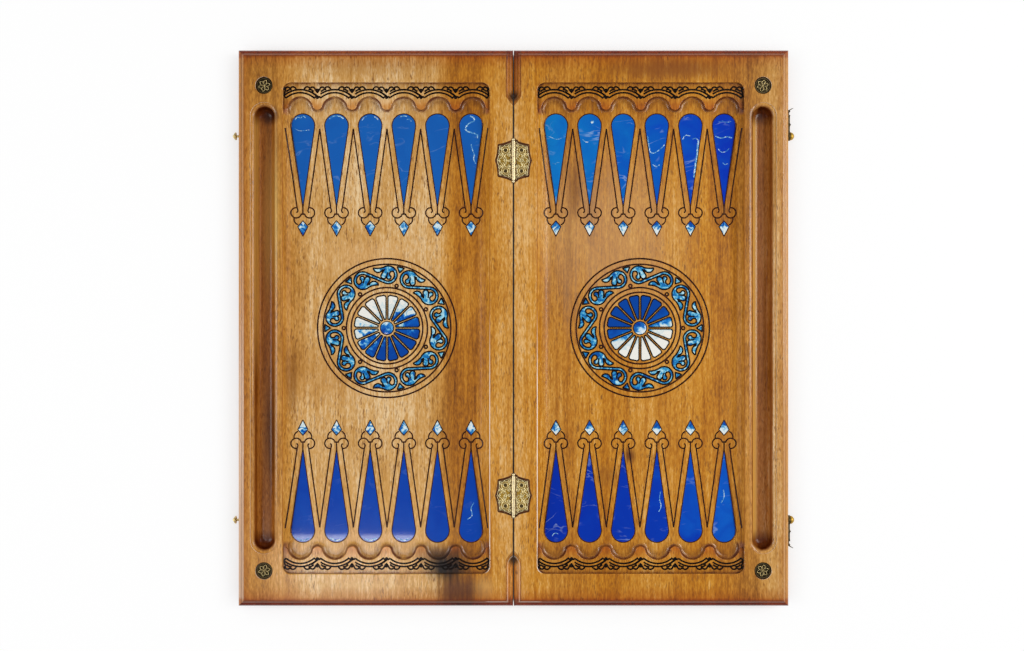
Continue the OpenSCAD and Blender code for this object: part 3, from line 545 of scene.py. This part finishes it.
def lacquered_wood():
    """Flat-sawn hardwood staves, stained by hand and clear lacquered: long grain with fine dark
    pores, stain that gathers on end grain, painted shade in the troughs and in corners, painted
    highlights along the lips, and a gloss on top."""
    material, tree, shader, mm = finish_named(
        "stained_lacquered_wood",
        Roughness=0.45,
        IOR=1.5,
        Specular_IOR_Level=0.25,
        Coat_Weight=0.4,
        Coat_Roughness=0.15,
    )
    place = add(tree, "SeparateXYZ", {"Vector": mm})
    slope = add(tree, "SeparateXYZ", {"Vector": add(tree, "TexCoord").outputs["Normal"]})
    bare, noise = wood_grain(tree, mm, place.outputs["X"])
    masks, measured = carving_masks(tree, place, slope.outputs["Z"], noise)
    body = marked(tree, mm, bare, noise["figure"])
    # Painted shade deep in the troughs, and a darker tone near the mouldings
    for value, start, full, colour in SHADE_AND_TONE_GRADIENTS:
        mask = add(
            tree, "MapRange", {"Value": measured[value], "From Min": start, "From Max": full}
        )
        tint = add(
            tree, "Mix", {0: mask.outputs[0], 6: (1, 1, 1, 1), 7: tone(colour)}, data_type="RGBA"
        )
        body = add(
            tree,
            "Mix",
            {0: 1.0, 6: body, 7: tint.outputs[2]},
            data_type="RGBA",
            blend_type="MULTIPLY",
        ).outputs[2]
    # Stains, painted shade and painted highlights
    for where, share, colour, blend in STAINS_AND_PAINTED_LIGHT:
        mask = overlap(tree, masks, where, share)
        body = add(
            tree, "Mix", {0: mask, 6: body, 7: tone(colour)}, data_type="RGBA", blend_type=blend
        ).outputs[2]
    # The underside and the faces that meet in the seam are plain sanded wood
    body = add(tree, "Mix", {0: masks["bare"], 6: body, 7: bare}, data_type="RGBA").outputs[2]
    tree.links.new(body, shader.inputs["Base Color"])
    # Lacquer sinks into the cut grain of the side coves and the troughs, and shines less there
    dulled = overlap(tree, masks, "cut carved not_under")
    for socket, dull in (("Coat Weight", 0.05), ("Specular IOR Level", 0.06)):
        full = shader.inputs[socket].default_value
        shine = add(tree, "MapRange", {"Value": dulled, "To Min": full, "To Max": dull})
        tree.links.new(shine.outputs[0], shader.inputs[socket])
    eased = add(tree, "Bevel", {"Radius": 0.5 * MM}, samples=4)
    for socket, layer, strength in (("Normal", "fleck", 0.3), ("Coat Normal", "streak", 0.15)):
        relief = add(
            tree,
            "Bump",
            {
                "Strength": strength,
                "Distance": 0.1 * MM,
                "Height": noise[layer],
                "Normal": eased.outputs[0],
            },
        )
        tree.links.new(relief.outputs[0], shader.inputs[socket])
    return material


def poured_resin(name, stops, cloud_size, centre=(0, 0), drift=(0, 0), cloud=1.0, veins=0.3):
    """Epoxy with two or three pigments poured into a pocket and levelled: glassy, with soft clouds
    and thin pale veins. drift shifts its colours along the stops with each mm away from centre."""
    material, tree, shader, mm = finish_named(
        name,
        Roughness=0.18,
        IOR=1.52,
        Specular_IOR_Level=0.06,
        Coat_Weight=0.7,
        Coat_Roughness=0.04,
    )
    billow = add(
        tree, "TexNoise", {"Vector": mm, "Scale": 1 / cloud_size, "Detail": 4.0, "Distortion": 1.0}
    )
    off = add(tree, "VectorMath", {0: mm, 1: (centre[0], centre[1], 0)}, operation="SUBTRACT")
    shift = add(tree, "VectorMath", {0: off.outputs[0], 1: (*drift, 0)}, operation="DOT_PRODUCT")
    centred = add(tree, "Math", {0: billow.outputs[0], 1: 0.5}, operation="SUBTRACT")
    mixed = add(
        tree,
        "Math",
        {0: centred.outputs[0], 1: cloud, 2: shift.outputs["Value"]},
        operation="MULTIPLY_ADD",
    )
    level = add(tree, "Math", {0: mixed.outputs[0], 1: 0.5}, operation="ADD")
    pigment = add(tree, "ValToRGB", {0: level.outputs[0]}, stops=stops)
    # Veins about 0.8 mm wide that wander across, 20 mm or so apart, and only in places
    across = add(tree, "Mapping", {"Vector": mm, "Scale": (1 / 44, 1 / 22, 1)})
    wander = add(
        tree,
        "TexNoise",
        {"Vector": across.outputs[0], "Scale": 1.0, "Detail": 3.0, "Distortion": 0.9},
    )
    fold = add(tree, "Math", {0: wander.outputs[0], 1: 0.5}, operation="SUBTRACT")
    ridge = add(tree, "Math", {0: fold.outputs[0]}, operation="ABSOLUTE")
    thin = add(tree, "MapRange", {"Value": ridge.outputs[0], "From Min": 0.022, "From Max": 0.0})
    where = add(tree, "TexNoise", {"Vector": mm, "Scale": 1 / 22, "Detail": 2.0})
    some = add(
        tree,
        "MapRange",
        {"Value": where.outputs[0], "From Min": 0.48, "From Max": 0.66, "To Max": veins},
    )
    wisp = add(tree, "Math", {0: thin.outputs[0], 1: some.outputs[0]}, operation="MULTIPLY")
    veined = add(
        tree,
        "Mix",
        {0: wisp.outputs[0], 6: pigment.outputs[0], 7: tone("#cfe8f4")},
        data_type="RGBA",
    )
    tree.links.new(veined.outputs[2], shader.inputs["Base Color"])
    ripple = add(tree, "TexNoise", {"Vector": mm, "Scale": 1 / 8, "Detail": 1.0})
    skin = add(tree, "Bump", {"Strength": 0.1, "Distance": 0.4 * MM, "Height": ripple.outputs[0]})
    tree.links.new(skin.outputs[0], shader.inputs["Normal"])
    return material


def aged_brass(name, bright, worn, dark, handled=0.0):
    """Cast brass, tumbled and aged: worn bright on the high places, brown patina in the hollows,
    and handled to a pale shine where it stands proud of the rim."""
    material, tree, shader, mm = finish_named(name, Metallic=1.0)
    grit = add(tree, "TexNoise", {"Vector": mm, "Scale": 1 / 1.2, "Detail": 6.0, "Roughness": 0.7})
    hollow = add(tree, "AmbientOcclusion", {"Distance": 1.5 * MM}, samples=8)
    open_share = add(tree, "Math", {0: hollow.outputs["AO"], 1: 0.8}, operation="MULTIPLY")
    wear = add(
        tree,
        "Math",
        {0: grit.outputs[0], 1: 0.45, 2: open_share.outputs[0]},
        operation="MULTIPLY_ADD",
    )
    stops = [(0.5, dark), (0.82, worn), (1.0, bright)]
    skin = add(tree, "ValToRGB", {0: wear.outputs[0]}, stops=stops)
    height = add(tree, "SeparateXYZ", {"Vector": mm})
    proud = add(
        tree,
        "MapRange",
        {
            "Value": height.outputs["Z"],
            "From Min": rim_z + 0.3,
            "From Max": rim_z + 0.9,
            "To Max": handled,
        },
    )
    rubbed = add(
        tree, "Mix", {0: proud.outputs[0], 6: skin.outputs[0], 7: tone("#ece2c0")}, data_type="RGBA"
    )
    tree.links.new(rubbed.outputs[2], shader.inputs["Base Color"])
    rough = add(
        tree,
        "MapRange",
        {"Value": wear.outputs[0], "From Min": 0.5, "From Max": 1.0, "To Min": 0.7, "To Max": 0.48},
    )
    tree.links.new(rough.outputs[0], shader.inputs["Roughness"])
    bump = add(tree, "Bump", {"Strength": 0.3, "Distance": 0.08 * MM, "Height": grit.outputs[0]})
    tree.links.new(bump.outputs[0], shader.inputs["Normal"])
    return material


def burnt_and_shaded_wood(name, char, middle, light):
    """Lines burnt in with a hot point, under the lacquer: char black, and brown where the point
    went light. Also a band of painted shadow on the wood round the hinge leaves."""
    material, tree, shader, mm = finish_named(
        name, Roughness=0.5, IOR=1.5, Specular_IOR_Level=0.1, Coat_Weight=0.15, Coat_Roughness=0.2
    )
    heat = add(tree, "TexNoise", {"Vector": mm, "Scale": 1 / 6, "Detail": 4.0})
    stops = [(0.3, char), (0.6, middle), (0.8, light)]
    body = add(tree, "ValToRGB", {0: heat.outputs[0]}, stops=stops)
    tree.links.new(body.outputs[0], shader.inputs["Base Color"])
    return material


def studio_sheet():
    """A white paper sweep: plain, lit to white, with the board's own shadow and a painted soft
    shadow round the board on it.
    """
    material, tree, shader, mm = finish_named(
        "white_paper_sheet", Roughness=0.9, Specular_IOR_Level=0.1
    )
    mottle = add(tree, "TexNoise", {"Vector": mm, "Scale": 1 / 400, "Detail": 2.0})
    body = add(tree, "ValToRGB", {0: mottle.outputs[0]}, stops=[(0.0, "#f4f4f5"), (1.0, "#fafafa")])
    tree.links.new(body.outputs[0], shader.inputs["Base Color"])
    # Seen directly, in gloss or through glass, most of it is paper white; the rest takes the
    # shadow.
    # Near the board the white fades with occlusion, which paints a soft shadow round it
    ray = add(tree, "LightPath")
    seen = ray.outputs["Is Camera Ray"]
    for other in ("Is Glossy Ray", "Is Transmission Ray"):
        seen = add(tree, "Math", {0: seen, 1: ray.outputs[other]}, operation="MAXIMUM").outputs[0]
    painted_shadow_ao = add(tree, "AmbientOcclusion", {"Distance": 32 * MM}, samples=12)
    share = add(tree, "Math", {0: seen, 1: painted_shadow_ao.outputs["AO"]}, operation="MULTIPLY")
    share = add(tree, "Math", {0: share.outputs[0], 1: 0.93}, operation="MULTIPLY")
    white = add(tree, "Emission", {"Color": (1, 1, 1, 1), "Strength": 1.0})
    lit = add(tree, "MixShader", {0: share.outputs[0], 1: shader.outputs[0], 2: white.outputs[0]})
    tree.links.new(lit.outputs[0], tree.nodes["Material Output"].inputs["Surface"])
    return material


WOOD = lacquered_wood()
CHAR = burnt_and_shaded_wood("charred_wood", "#060201", "#120603", "#2c1206")
BURNT = burnt_and_shaded_wood("lightly_burnt_wood", "#1a0702", "#3a1507", "#5c2c10")
# Painted shadow on the wood round the hinge leaves
PAINTED_HINGE_SHADOW = burnt_and_shaded_wood("painted_shadow_round_hinge", "#402210", "#583218", "#744622")
BRASS = aged_brass("aged_cast_brass", "#e8d49a", "#c8ac64", "#5c4418", 0.7)
RELIEF = aged_brass("brass_relief_worn_bright", "#f4e6b0", "#dcc078", "#6c521c")
PATINA = aged_brass("brass_under_patina", "#c09a44", "#7c5c1e", "#1e1404", 0.7)
BRONZE = aged_brass("darkened_cast_brass", "#5c5038", "#241e14", "#080604")

PETAL_STOPS = [
    (0.05, "#04429c"), (0.38, "#0a56b2"), (0.47, "#1c7cc8"), (0.55, "#7cbcdc"),
    (0.64, "#d2dedc"), (0.74, "#e4e6e0"), (0.84, "#c6dade"), (1.0, "#eceae2"),
]
DIAMOND_STOPS = [
    (0.2, "#0a46a6"), (0.42, "#1c78be"), (0.52, "#7ebbd8"), (0.62, "#d6e4e6"), (0.9, "#e6e8e4"),
]
SCROLL_STOPS = [
    (0.18, "#0e509e"), (0.36, "#1c78b8"), (0.52, "#3896c6"), (0.66, "#70bad6"), (0.84, "#b8dee8"),
]
HUB_STOPS = [(0.1, "#0a3c9c"), (0.45, "#1a6cbc"), (0.62, "#6cb4dc"), (0.8, "#dfeaf0")]
RIGHT_UPPER_STOPS = [(0.1, "#0432b2"), (0.38, "#044cba"), (0.62, "#045cba"), (1.0, "#0a76c4")]
RIGHT_LOWER_STOPS = [(0.2, "#022ca2"), (0.6, "#0238ae"), (1.0, "#0a5cc4")]
LEFT_UPPER_STOPS = [(0.1, "#124ea2"), (0.5, "#145cb0"), (1.0, "#1c6aba")]
LEFT_LOWER_STOPS = [(0.2, "#04369e"), (0.6, "#0a44aa"), (1.0, "#165cb8")]
VEIN_STOPS = [(0.3, "#2c78c0"), (0.52, "#70b0da"), (0.78, "#dcebf0")]
# The stops of each pour, the size of its clouds, where its middle tone lies, its drift along the
# stops with each mm from there, and how strong its clouds and its veins are
POURS = {
    "right_upper_points": (RIGHT_UPPER_STOPS, 26, (150, 180), (-0.0045, 0), 0.6, 0.3),
    "right_lower_points": (RIGHT_LOWER_STOPS, 40, (137, -180), (0.004, 0), 0.8, 0.25),
    "left_upper_points": (LEFT_UPPER_STOPS, 40, (-137, 180), (0, 0), 0.6, 0.12),
    "left_lower_points": (LEFT_LOWER_STOPS, 40, (-137, -180), (0, 0), 0.8, 0.04),
    "right_upper_diamonds": (DIAMOND_STOPS, 5, (field_x, 109), (0, -0.045), 1.6, 0),
    "right_lower_diamonds": (DIAMOND_STOPS, 5, (field_x, -109), (0, -0.045), 1.6, 0),
    "left_upper_diamonds": (DIAMOND_STOPS, 5, (-field_x, 109), (0, 0.012), 1.6, 0),
    "left_lower_diamonds": (DIAMOND_STOPS, 5, (-field_x, -109), (0, 0.02), 1.6, 0),
    "right_petals": (PETAL_STOPS, 10, (field_x, -3), (0.012, -0.034), 0.9, 0),
    "left_petals": (PETAL_STOPS, 8, (-field_x, 2), (-0.010, 0.018), 1.9, 0),
    "right_hub": (HUB_STOPS, 5, (field_x, 0), (0.02, -0.05), 1.5, 0),
    "left_hub": (HUB_STOPS, 5, (-field_x, 1), (0.01, 0.05), 1.5, 0),
    "right_scrolls": (SCROLL_STOPS, 5, (field_x, 0), (0.001, 0.001), 2.4, 0),
    "left_scrolls": (SCROLL_STOPS, 5, (-field_x, 0), (0.001, 0.001), 2.4, 0),
}
RESINS = {name: poured_resin(name + "_resin", *pour) for name, pour in POURS.items()}
for half in HALVES:
    RESINS[half + "_triangles"] = RESINS[half + "_scrolls"]
# Pale veins, and painted glints on the heads of the points
PALE = poured_resin("resin_veins_and_painted_glints", VEIN_STOPS, 3, cloud=1.8, veins=0)

for name, node in nodes.items():
    if name.endswith("panel"):
        finish = WOOD
    elif name in RESINS:
        finish = RESINS[name]
    elif "button" in name or name in ("upper_hook", "lower_hook"):
        finish = BRONZE
    elif name.endswith("leaf") or name.endswith("hook_screw"):
        finish = PATINA
    elif name.endswith("hinge_screws"):
        finish = BRONZE
    else:
        finish = BRASS
    for slot in node.material_slots:
        slot.material = finish


# ---------------------------------------------------------------- drawing lines


def arc(centre, radius, start, end, step=8):
    """Points along an arc, in mm, from one angle to another, in degrees."""
    count = max(2, round(abs(end - start) / step) + 1)
    angles = [math.radians(start + (end - start) * i / (count - 1)) for i in range(count)]
    return [(centre[0] + radius * math.cos(a), centre[1] + radius * math.sin(a)) for a in angles]


def ring(centre, radius, step=20):
    """Points round a circle, in mm, for a closed loop."""
    return arc(centre, radius, 0, 360 - step, step)


def arch(middle, peak, radius, left, right):
    """Points along a flat arch about a middle line, from left of it to right of it."""
    ends = [90 - math.degrees(math.asin(x / radius)) for x in (left, right)]
    return arc((middle, peak - radius), radius, ends[0], ends[1], 5)


def straight(start, end, steps=8):
    """Points along a straight line, close enough together to follow the surface under it."""
    return [tuple(a + (b - a) * i / steps for a, b in zip(start, end)) for i in range(steps + 1)]


def spiral(centre, outer, inner, start, turns):
    """Points along a spiral that winds in, clockwise for negative turns."""
    count = round(abs(turns) * 12) + 1
    points = []
    for i in range(count):
        share = i / (count - 1)
        angle = math.radians(start + 360 * turns * share)
        radius = outer + (inner - outer) * share
        points.append((centre[0] + radius * math.cos(angle), centre[1] + radius * math.sin(angle)))
    return points


def flip(path, x=1, y=1, dx=0, dy=0):
    """A path mirrored in x or y, then moved."""
    return [(px * x + dx, py * y + dy) for px, py in path]


def turned(path, angle, dx=0, dy=0):
    """A path turned about the origin, in degrees, then moved."""
    c, s = math.cos(math.radians(angle)), math.sin(math.radians(angle))
    return [(x * c - y * s + dx, x * s + y * c + dy) for x, y in path]


SURFACES = {}
for half in HALVES:
    panel = nodes[half + "_panel"].data
    SURFACES[half + "_half"] = BVHTree.FromPolygons(
        [v.co for v in panel.vertices], [p.vertices for p in panel.polygons]
    )


def draw(name, body, paths, width, level, rise=line_rise, loops=(), finish=None):
    """Draws smooth paths, and closed loops, as low rounded lines on a surface at that level."""
    curve = bpy.data.curves.new(name, "CURVE")
    curve.dimensions = "3D"
    curve.bevel_depth = width / 2 * MM
    curve.bevel_resolution = 1
    curve.resolution_u = 4
    curve.use_fill_caps = True
    for path in paths:
        spline = curve.splines.new("BEZIER")
        spline.bezier_points.add(len(path) - 1)
        for point, (x, y) in zip(spline.bezier_points, path):
            point.co = (x * MM, y * MM, 0)
            point.handle_left_type = point.handle_right_type = "AUTO"
    for loop in loops:
        spline = curve.splines.new("POLY")
        spline.points.add(len(loop) - 1)
        for point, (x, y) in zip(spline.points, loop):
            point.co = (x * MM, y * MM, 0, 1)
        spline.use_cyclic_u = True
    drawn = bpy.data.objects.new(name, curve)
    bpy.context.scene.collection.objects.link(drawn)
    graph = bpy.context.evaluated_depsgraph_get()
    mesh = bpy.data.meshes.new_from_object(drawn.evaluated_get(graph))
    bpy.data.objects.remove(drawn)
    mesh.transform(Matrix.Diagonal((1, 1, rise * 2 / width, 1)))
    for vertex in mesh.vertices:
        below = SURFACES[body].ray_cast((vertex.co.x, vertex.co.y, 1), (0, 0, -1))[0]
        vertex.co.z += max(level * MM, below.z if below else 0)
    piece = bpy.data.objects.new(name, mesh)
    bpy.context.scene.collection.objects.link(piece)
    mesh.materials.clear()
    mesh.materials.append(finish or BURNT)
    mesh.polygons.foreach_set("use_smooth", [True] * len(mesh.polygons))
    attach(piece, body)
    return piece


def crisp(loop, reach=0.5, least_turn=25):
    """A closed path with points just beside each corner, which keep the line's width there."""
    path = []
    for before, corner, after in zip(loop[-1:] + loop, loop, loop[1:] + loop[:1]):
        steps = [Vector(before) - Vector(corner), Vector(after) - Vector(corner)]
        turn = 180 - math.degrees(steps[0].angle(steps[1]))
        near = [
            [tuple(Vector(corner) + step.normalized() * reach)]
            if turn > least_turn and step.length > 2 * reach
            else []
            for step in steps
        ]
        path += near[0] + [corner] + near[1]
    return path


def rims(node):
    """The outlines of a CAD node's upward faces, as closed paths in mm."""
    shape = bmesh.new()
    shape.from_mesh(nodes[node].data)
    bmesh.ops.remove_doubles(shape, verts=shape.verts, dist=1e-6)
    under = [f for f in shape.faces if f.normal.z < 0.3]
    bmesh.ops.delete(shape, geom=under, context="FACES")
    # A dict keeps the edges in order, so each run follows each outline from the same place
    border = dict.fromkeys(e for e in shape.edges if e.is_boundary)
    paths = []
    while border:
        edge = border.popitem()[0]
        start, corner = edge.verts
        path = [start, corner]
        while corner != start:
            edge = next(e for e in corner.link_edges if e in border)
            del border[edge]
            corner = edge.other_vert(corner)
            path.append(corner)
        paths.append(crisp([(v.co.x / MM, v.co.y / MM) for v in path[:-1]]))
    shape.free()
    return paths


# ---------------------------------------------------------------- burnt lines


def point_lines():
    """The lines round one point of the upper row, about its centre line."""
    volute = arc((volute_x, volute_y), volute_r, 194, 462, 14)
    hook = [v_foot, (5.7, 128.2), (5.5, 126.6), (6.1, 125.4), (7.1, 125.0)]
    ear = [ear_top, (9.5, 117.2), (8.7, 114.6), (7.1, 112.7), (5.3, ear_foot_y)]
    side = [straight(v_top, v_foot), [(0.1, stem_foot_y)] + volute, hook, ear]
    stem = [(0, point_tip_y + stem_overlap), (0, stem_foot_y)]
    return side + [flip(path, x=-1) for path in side] + [stem]


def frieze_lines(middle, first, last):
    """The frieze over one arch, about the middle of its bay; the right-hand band passes over."""
    half_bay = arch_pitch / 2
    start = (first_band_gap if first else band_gap) - half_bay
    end = half_bay + (0 if last else band_overlap)
    inner_start, inner_end = inner_band_gaps
    lines = [
        arch(middle, outer_arc_y, outer_arc_r, start, end),
        arch(middle, inner_arc_y, inner_arc_r, inner_start - half_bay, half_bay - inner_end),
    ]
    leaf = [(14.7, 256.6), (13.4, 258.6), (11.2, 259.8), (9.2, 259.3), (7.6, 258.2)]
    lobe = [(7.6, 258.2), (6.4, 259.3), (4.9, 259.5), (3.3, 258.7), (2.3, 257.0)]
    vein = [(9.6, 257.2), (6.6, 256.6), (3.8, 254.8)]
    close = [(2.3, 257.0), (2.0, 258.6), (1.5, 257.6), (2.9, 256.2)]
    close += [(2.2, 254.2), (1.7, 251.4), (2.4, 248.8), (4.0, 247.8)]
    for side, outermost in ((-1, first), (1, last)):
        drop = middle + side * half_bay
        lines += [flip(path, x=-side, dx=drop) for path in (leaf, lobe, vein)]
        if outermost:
            lines.append(flip(close, x=-side, dx=drop))
    if not last:
        drop = middle + half_bay
        band = [(-7, 254.6), (-2.6, 251.8), (1.5, 248.6)]
        bow = [(-2.9, 248.3), (-1.6, 249.1), (0, 247.4), (1.7, 249.2), (3.9, 247.8)]
        tie = [(2.4, 256.9), (-0.4, 253.4)]
        lines += [flip(path, dx=drop) for path in (band, bow)]
        lines += [flip(tie, x=side, dx=drop) for side in (-1, 1)]
    return lines


def lobe_cuts():
    """The short cuts between the lobes of every scroll's leaves, about the medallion's middle."""
    near, far = [(2.8, 3.2), (1.5, 0.2), (-0.4, -2.7)], [(7.8, -4.1), (5.6, -4.6), (3.2, -6.1)]
    curl_x = scroll_ring_r * math.cos(math.radians(curl_angle))
    curl_y = scroll_ring_r * math.sin(math.radians(curl_angle))
    cuts = []
    for i, out_first in enumerate(leaf_order):
        for second in (False, True):
            outward = second == out_first
            paths = [near, turned(far, -outer_leaf_turn if outward else 0)]
            for path in paths:
                path = flip(path, y=-1 if outward else 1)
                path = turned(path, -90, curl_x, curl_y)
                path = flip(path, y=-1 if second else 1)
                cuts.append(turned(path, (i + 0.5) * 360 / scroll_count))
    return cuts


for half, side in HALVES.items():
    body = half + "_half"
    rows = sorted(side * (first_point_x + i * point_pitch) for i in range(points_in_row))
    bays = [
        side * field_x + (i - (points_in_row - 1) / 2) * arch_pitch for i in range(points_in_row)
    ]
    for end, up in ENDS.items():
        lines = [flip(path, y=up, dx=x) for x in rows for path in point_lines()]
        draw(f"{half}_{end}_point_lines", body, lines, line_w, floor_z)
        for kind in ("points", "diamonds"):
            loops = rims(f"{half}_{end}_{kind}")
            draw(f"{half}_{end}_{kind}_outline", body, [], outline_w, floor_z, loops=loops)
        ornament = []
        for i, x in enumerate(bays):
            ornament += frieze_lines(x, i == 0, i == points_in_row - 1)
        ornament = [flip(path, y=up) for path in ornament]
        draw(f"{half}_{end}_frieze_lines", body, ornament, frieze_line_w, frieze_z, finish=CHAR)
        drops = [(a + b) / 2 for a, b in zip(bays, bays[1:])]
        knots = [ring((x, up * knot_y), knot_w / 2, 30) for x in drops]
        draw(f"{half}_{end}_frieze_knots", body, [], knot_w, frieze_z, loops=knots, finish=CHAR)
        veins = [
            (width, flip(path, y=up, dx=rows[i], dy=up * point_head_y))
            for row, i, width, path in PALE_VEINS_AND_GLINTS
            if row == f"{half}_{end}"
        ]
        # Pale veins, and painted glints along the heads' edges
        for i, (width, path) in enumerate(veins):
            draw(
                f"{half}_{end}_pale_vein_{i + 1}", body, [path], width, floor_z, vein_rise,
                finish=PALE,
            )
    for kind, width in (
        ("petals", fine_line_w),
        ("hub", fine_line_w),
        ("scrolls", scroll_line_w),
        ("triangles", scroll_line_w),
    ):
        loops = rims(f"{half}_{kind}")
        draw(f"{half}_{kind}_outline", body, [], width, floor_z, loops=loops, finish=CHAR)
    rings = [ring((side * field_x, 0), r, 3) for r in circle_rs]
    for i in range(scroll_count):
        turn = math.radians(i * 360 / scroll_count)
        x, y = eyelet_circle_r * math.cos(turn), eyelet_circle_r * math.sin(turn)
        rings.append(ring((side * (field_x + x), y), eyelet_r))
    draw(f"{half}_medallion_circles", body, [], circle_line_w, floor_z, loops=rings)
    cuts = [flip(path, x=side, dx=side * field_x) for path in lobe_cuts()]
    draw(f"{half}_scroll_cuts", body, cuts, scroll_line_w, floor_z, finish=CHAR)


# ---------------------------------------------------------------- cast relief on the brass


def leaf_relief(strap):
    """The raised arabesque of one hinge leaf, for x > 0, about the hinge's middle, with a slanting
    strap or a curl by the barrel."""
    upper = [
        spiral((13.4, 13.4), 1.9, 0.5, 200, 1.4),
        spiral((4.6, 16.0), 1.7, 0.5, -60, -1.3),
        spiral((14.3, 6.6), 2.0, 0.5, 80, -1.4),
        spiral((4.9, 6.2), 1.9, 0.5, 100, 1.4),
        [(13.0, 9.6), (11.6, 7.0), (12.0, 4.4), (13.8, 2.4), (15.8, 1.2)],
        [(3.6, 12.8), (4.2, 10.4), (3.4, 8.4)],
        [(9.0, 15.8), (11.0, 16.2), (13.4, 15.5)],
        [(8.4, 6.6), (9.2, 4.6), (8.0, 2.8), (8.8, 1.6)],
        [(10.6, 6.4), (10.0, 3.8), (11.4, 2.2)],
    ]
    lines = upper + [flip(path, y=-1) for path in upper]
    lines += [spiral((8.6, 0), 2.1, 0.5, 0, 1.6), spiral((15.2, 0), 1.2, 0.4, 180, 1.2)]
    if strap:
        lines += [
            [(3.2, 4.4), (6.2, 2.6), (9.4, 0.2), (12.4, -1.4)],
            [(3.2, 4.4), (3.6, 1.8), (6.4, -1.0)],
        ]
    else:
        lines += [spiral((4.6, 0), 1.5, 0.4, 0, -1.3)]
    return lines


for end, up in ENDS.items():
    low, high = edges(f"{end}_hinge_right_leaf")
    hinge_y = (low.y + high.y) / 2
    for half, side in HALVES.items():
        body = half + "_half"
        leaf = f"{end}_hinge_{half}_leaf"
        lines = [flip(path, x=side, y=up, dy=hinge_y) for path in leaf_relief(side > 0)]
        draw(
            leaf + "_relief", body, lines, relief_w, leaf_top, relief_rise,
            finish=RELIEF,
        )
        bosses = [
            ring((side * screw_x, hinge_y + s * screw_y), r)
            for s in (-1, 1)
            for r in boss_rs
        ]
        outline = max(rims(leaf), key=lambda path: max(abs(x) for x, y in path))
        middle = (side * leaf_middle_x, hinge_y)
        border = [
            tuple(m + (at - m) * share for at, m, share in zip(corner, middle, border_share))
            for corner in outline
        ]
        # A band of painted shadow on the wood round the leaf
        draw(
            leaf + "_painted_shadow_edge", body, [], mortise_line_w, rim_z,
            loops=[outline], finish=PAINTED_HINGE_SHADOW,
        )
        draw(
            leaf + "_border", body, [], border_w, leaf_top, relief_rise,
            loops=bosses + [border], finish=RELIEF,
        )

for half, side in HALVES.items():
    for end, up in ENDS.items():
        low, high = edges(f"{half}_{end}_button")
        middle = ((low.x + high.x) / 2, (low.y + high.y) / 2)
        petal_side = [(1.0, 0.5), (3.0, 1.7), (5.4, 0.9)]
        petal = petal_side + [(6.2, 0)] + flip(petal_side, y=-1)[::-1]
        petals = [
            turned(petal, i * 360 / rosette_petals + rosette_turn, *middle)
            for i in range(rosette_petals)
        ]
        centre_r, ring_r = button_ring_rs
        draw(
            f"{half}_{end}_button_rosette", half + "_half", petals, rosette_w,
            high.z - rosette_drop, rosette_rise,
            loops=[ring(middle, centre_r, 45), ring(middle, ring_r, 15)],
            finish=BRASS,
        )


# ---------------------------------------------------------------- floor, lights and camera

sheet = bmesh.new()
bmesh.ops.create_grid(sheet, x_segments=1, y_segments=1, size=6.0)
bmesh.ops.translate(sheet, verts=sheet.verts, vec=(0, 0, -0.2 * MM))
floor_mesh = bpy.data.meshes.new("floor")
sheet.to_mesh(floor_mesh)
sheet.free()
floor = bpy.data.objects.new("floor", floor_mesh)
bpy.context.scene.collection.objects.link(floor)
floor_mesh.materials.append(studio_sheet())


def softbox(name, place, width, depth, power, aim=(0, 0, 0)):
    """A soft rectangular lamp aimed at the middle of the board, or at another place on it."""
    lamp = bpy.data.lights.new(name, "AREA")
    lamp.shape = "RECTANGLE"
    lamp.size, lamp.size_y = width, depth
    lamp.energy = power
    holder = bpy.data.objects.new(name, lamp)
    holder.location = place
    holder.rotation_euler = (Vector(aim) - Vector(place)).to_track_quat("-Z", "Y").to_euler()
    bpy.context.scene.collection.objects.link(holder)


softbox("right_softbox", (1.6, 0.2, 1.5), 0.8, 1.4, 31)
softbox("left_softbox", (-1.7, -0.1, 1.3), 0.7, 1.4, 19)
# Its reflection lies on the lacquer of the near left corner
softbox("near_strip", (-0.37, -0.52, 1.3), 0.3, 0.11, 1.25, (-0.37, 0, 0))

# A pale room: white round the sides, dim overhead, so that flat lacquer isn't veiled
world = bpy.data.worlds.new("studio")
bpy.context.scene.world = world
world.use_nodes = True
room = world.node_tree
room.nodes.clear()
towards = add(room, "SeparateXYZ", {"Vector": add(room, "TexCoord").outputs["Generated"]})
room_stops = [(0.0, 1.0), (0.22, 0.9), (0.5, 0.42), (0.8, 0.12), (1.0, 0.12)]
glow = add(room, "ValToRGB", {0: towards.outputs["Z"]}, stops=room_stops)
light = add(room, "Background", {"Color": glow.outputs[0], "Strength": 1.0})
add(room, "OutputWorld", {"Surface": light.outputs[0]})

camera_data = bpy.data.cameras.new("camera")
camera_data.sensor_width = 36
camera_data.lens = 39.27
camera = bpy.data.objects.new("camera", camera_data)
# Straight above, as far away as the parallax between the rim and the floor says
camera.location = (-1.6 * MM, 2.8 * MM, 1.225)
bpy.context.scene.collection.objects.link(camera)
bpy.context.scene.camera = camera
bpy.context.scene.view_settings.view_transform = "Standard"
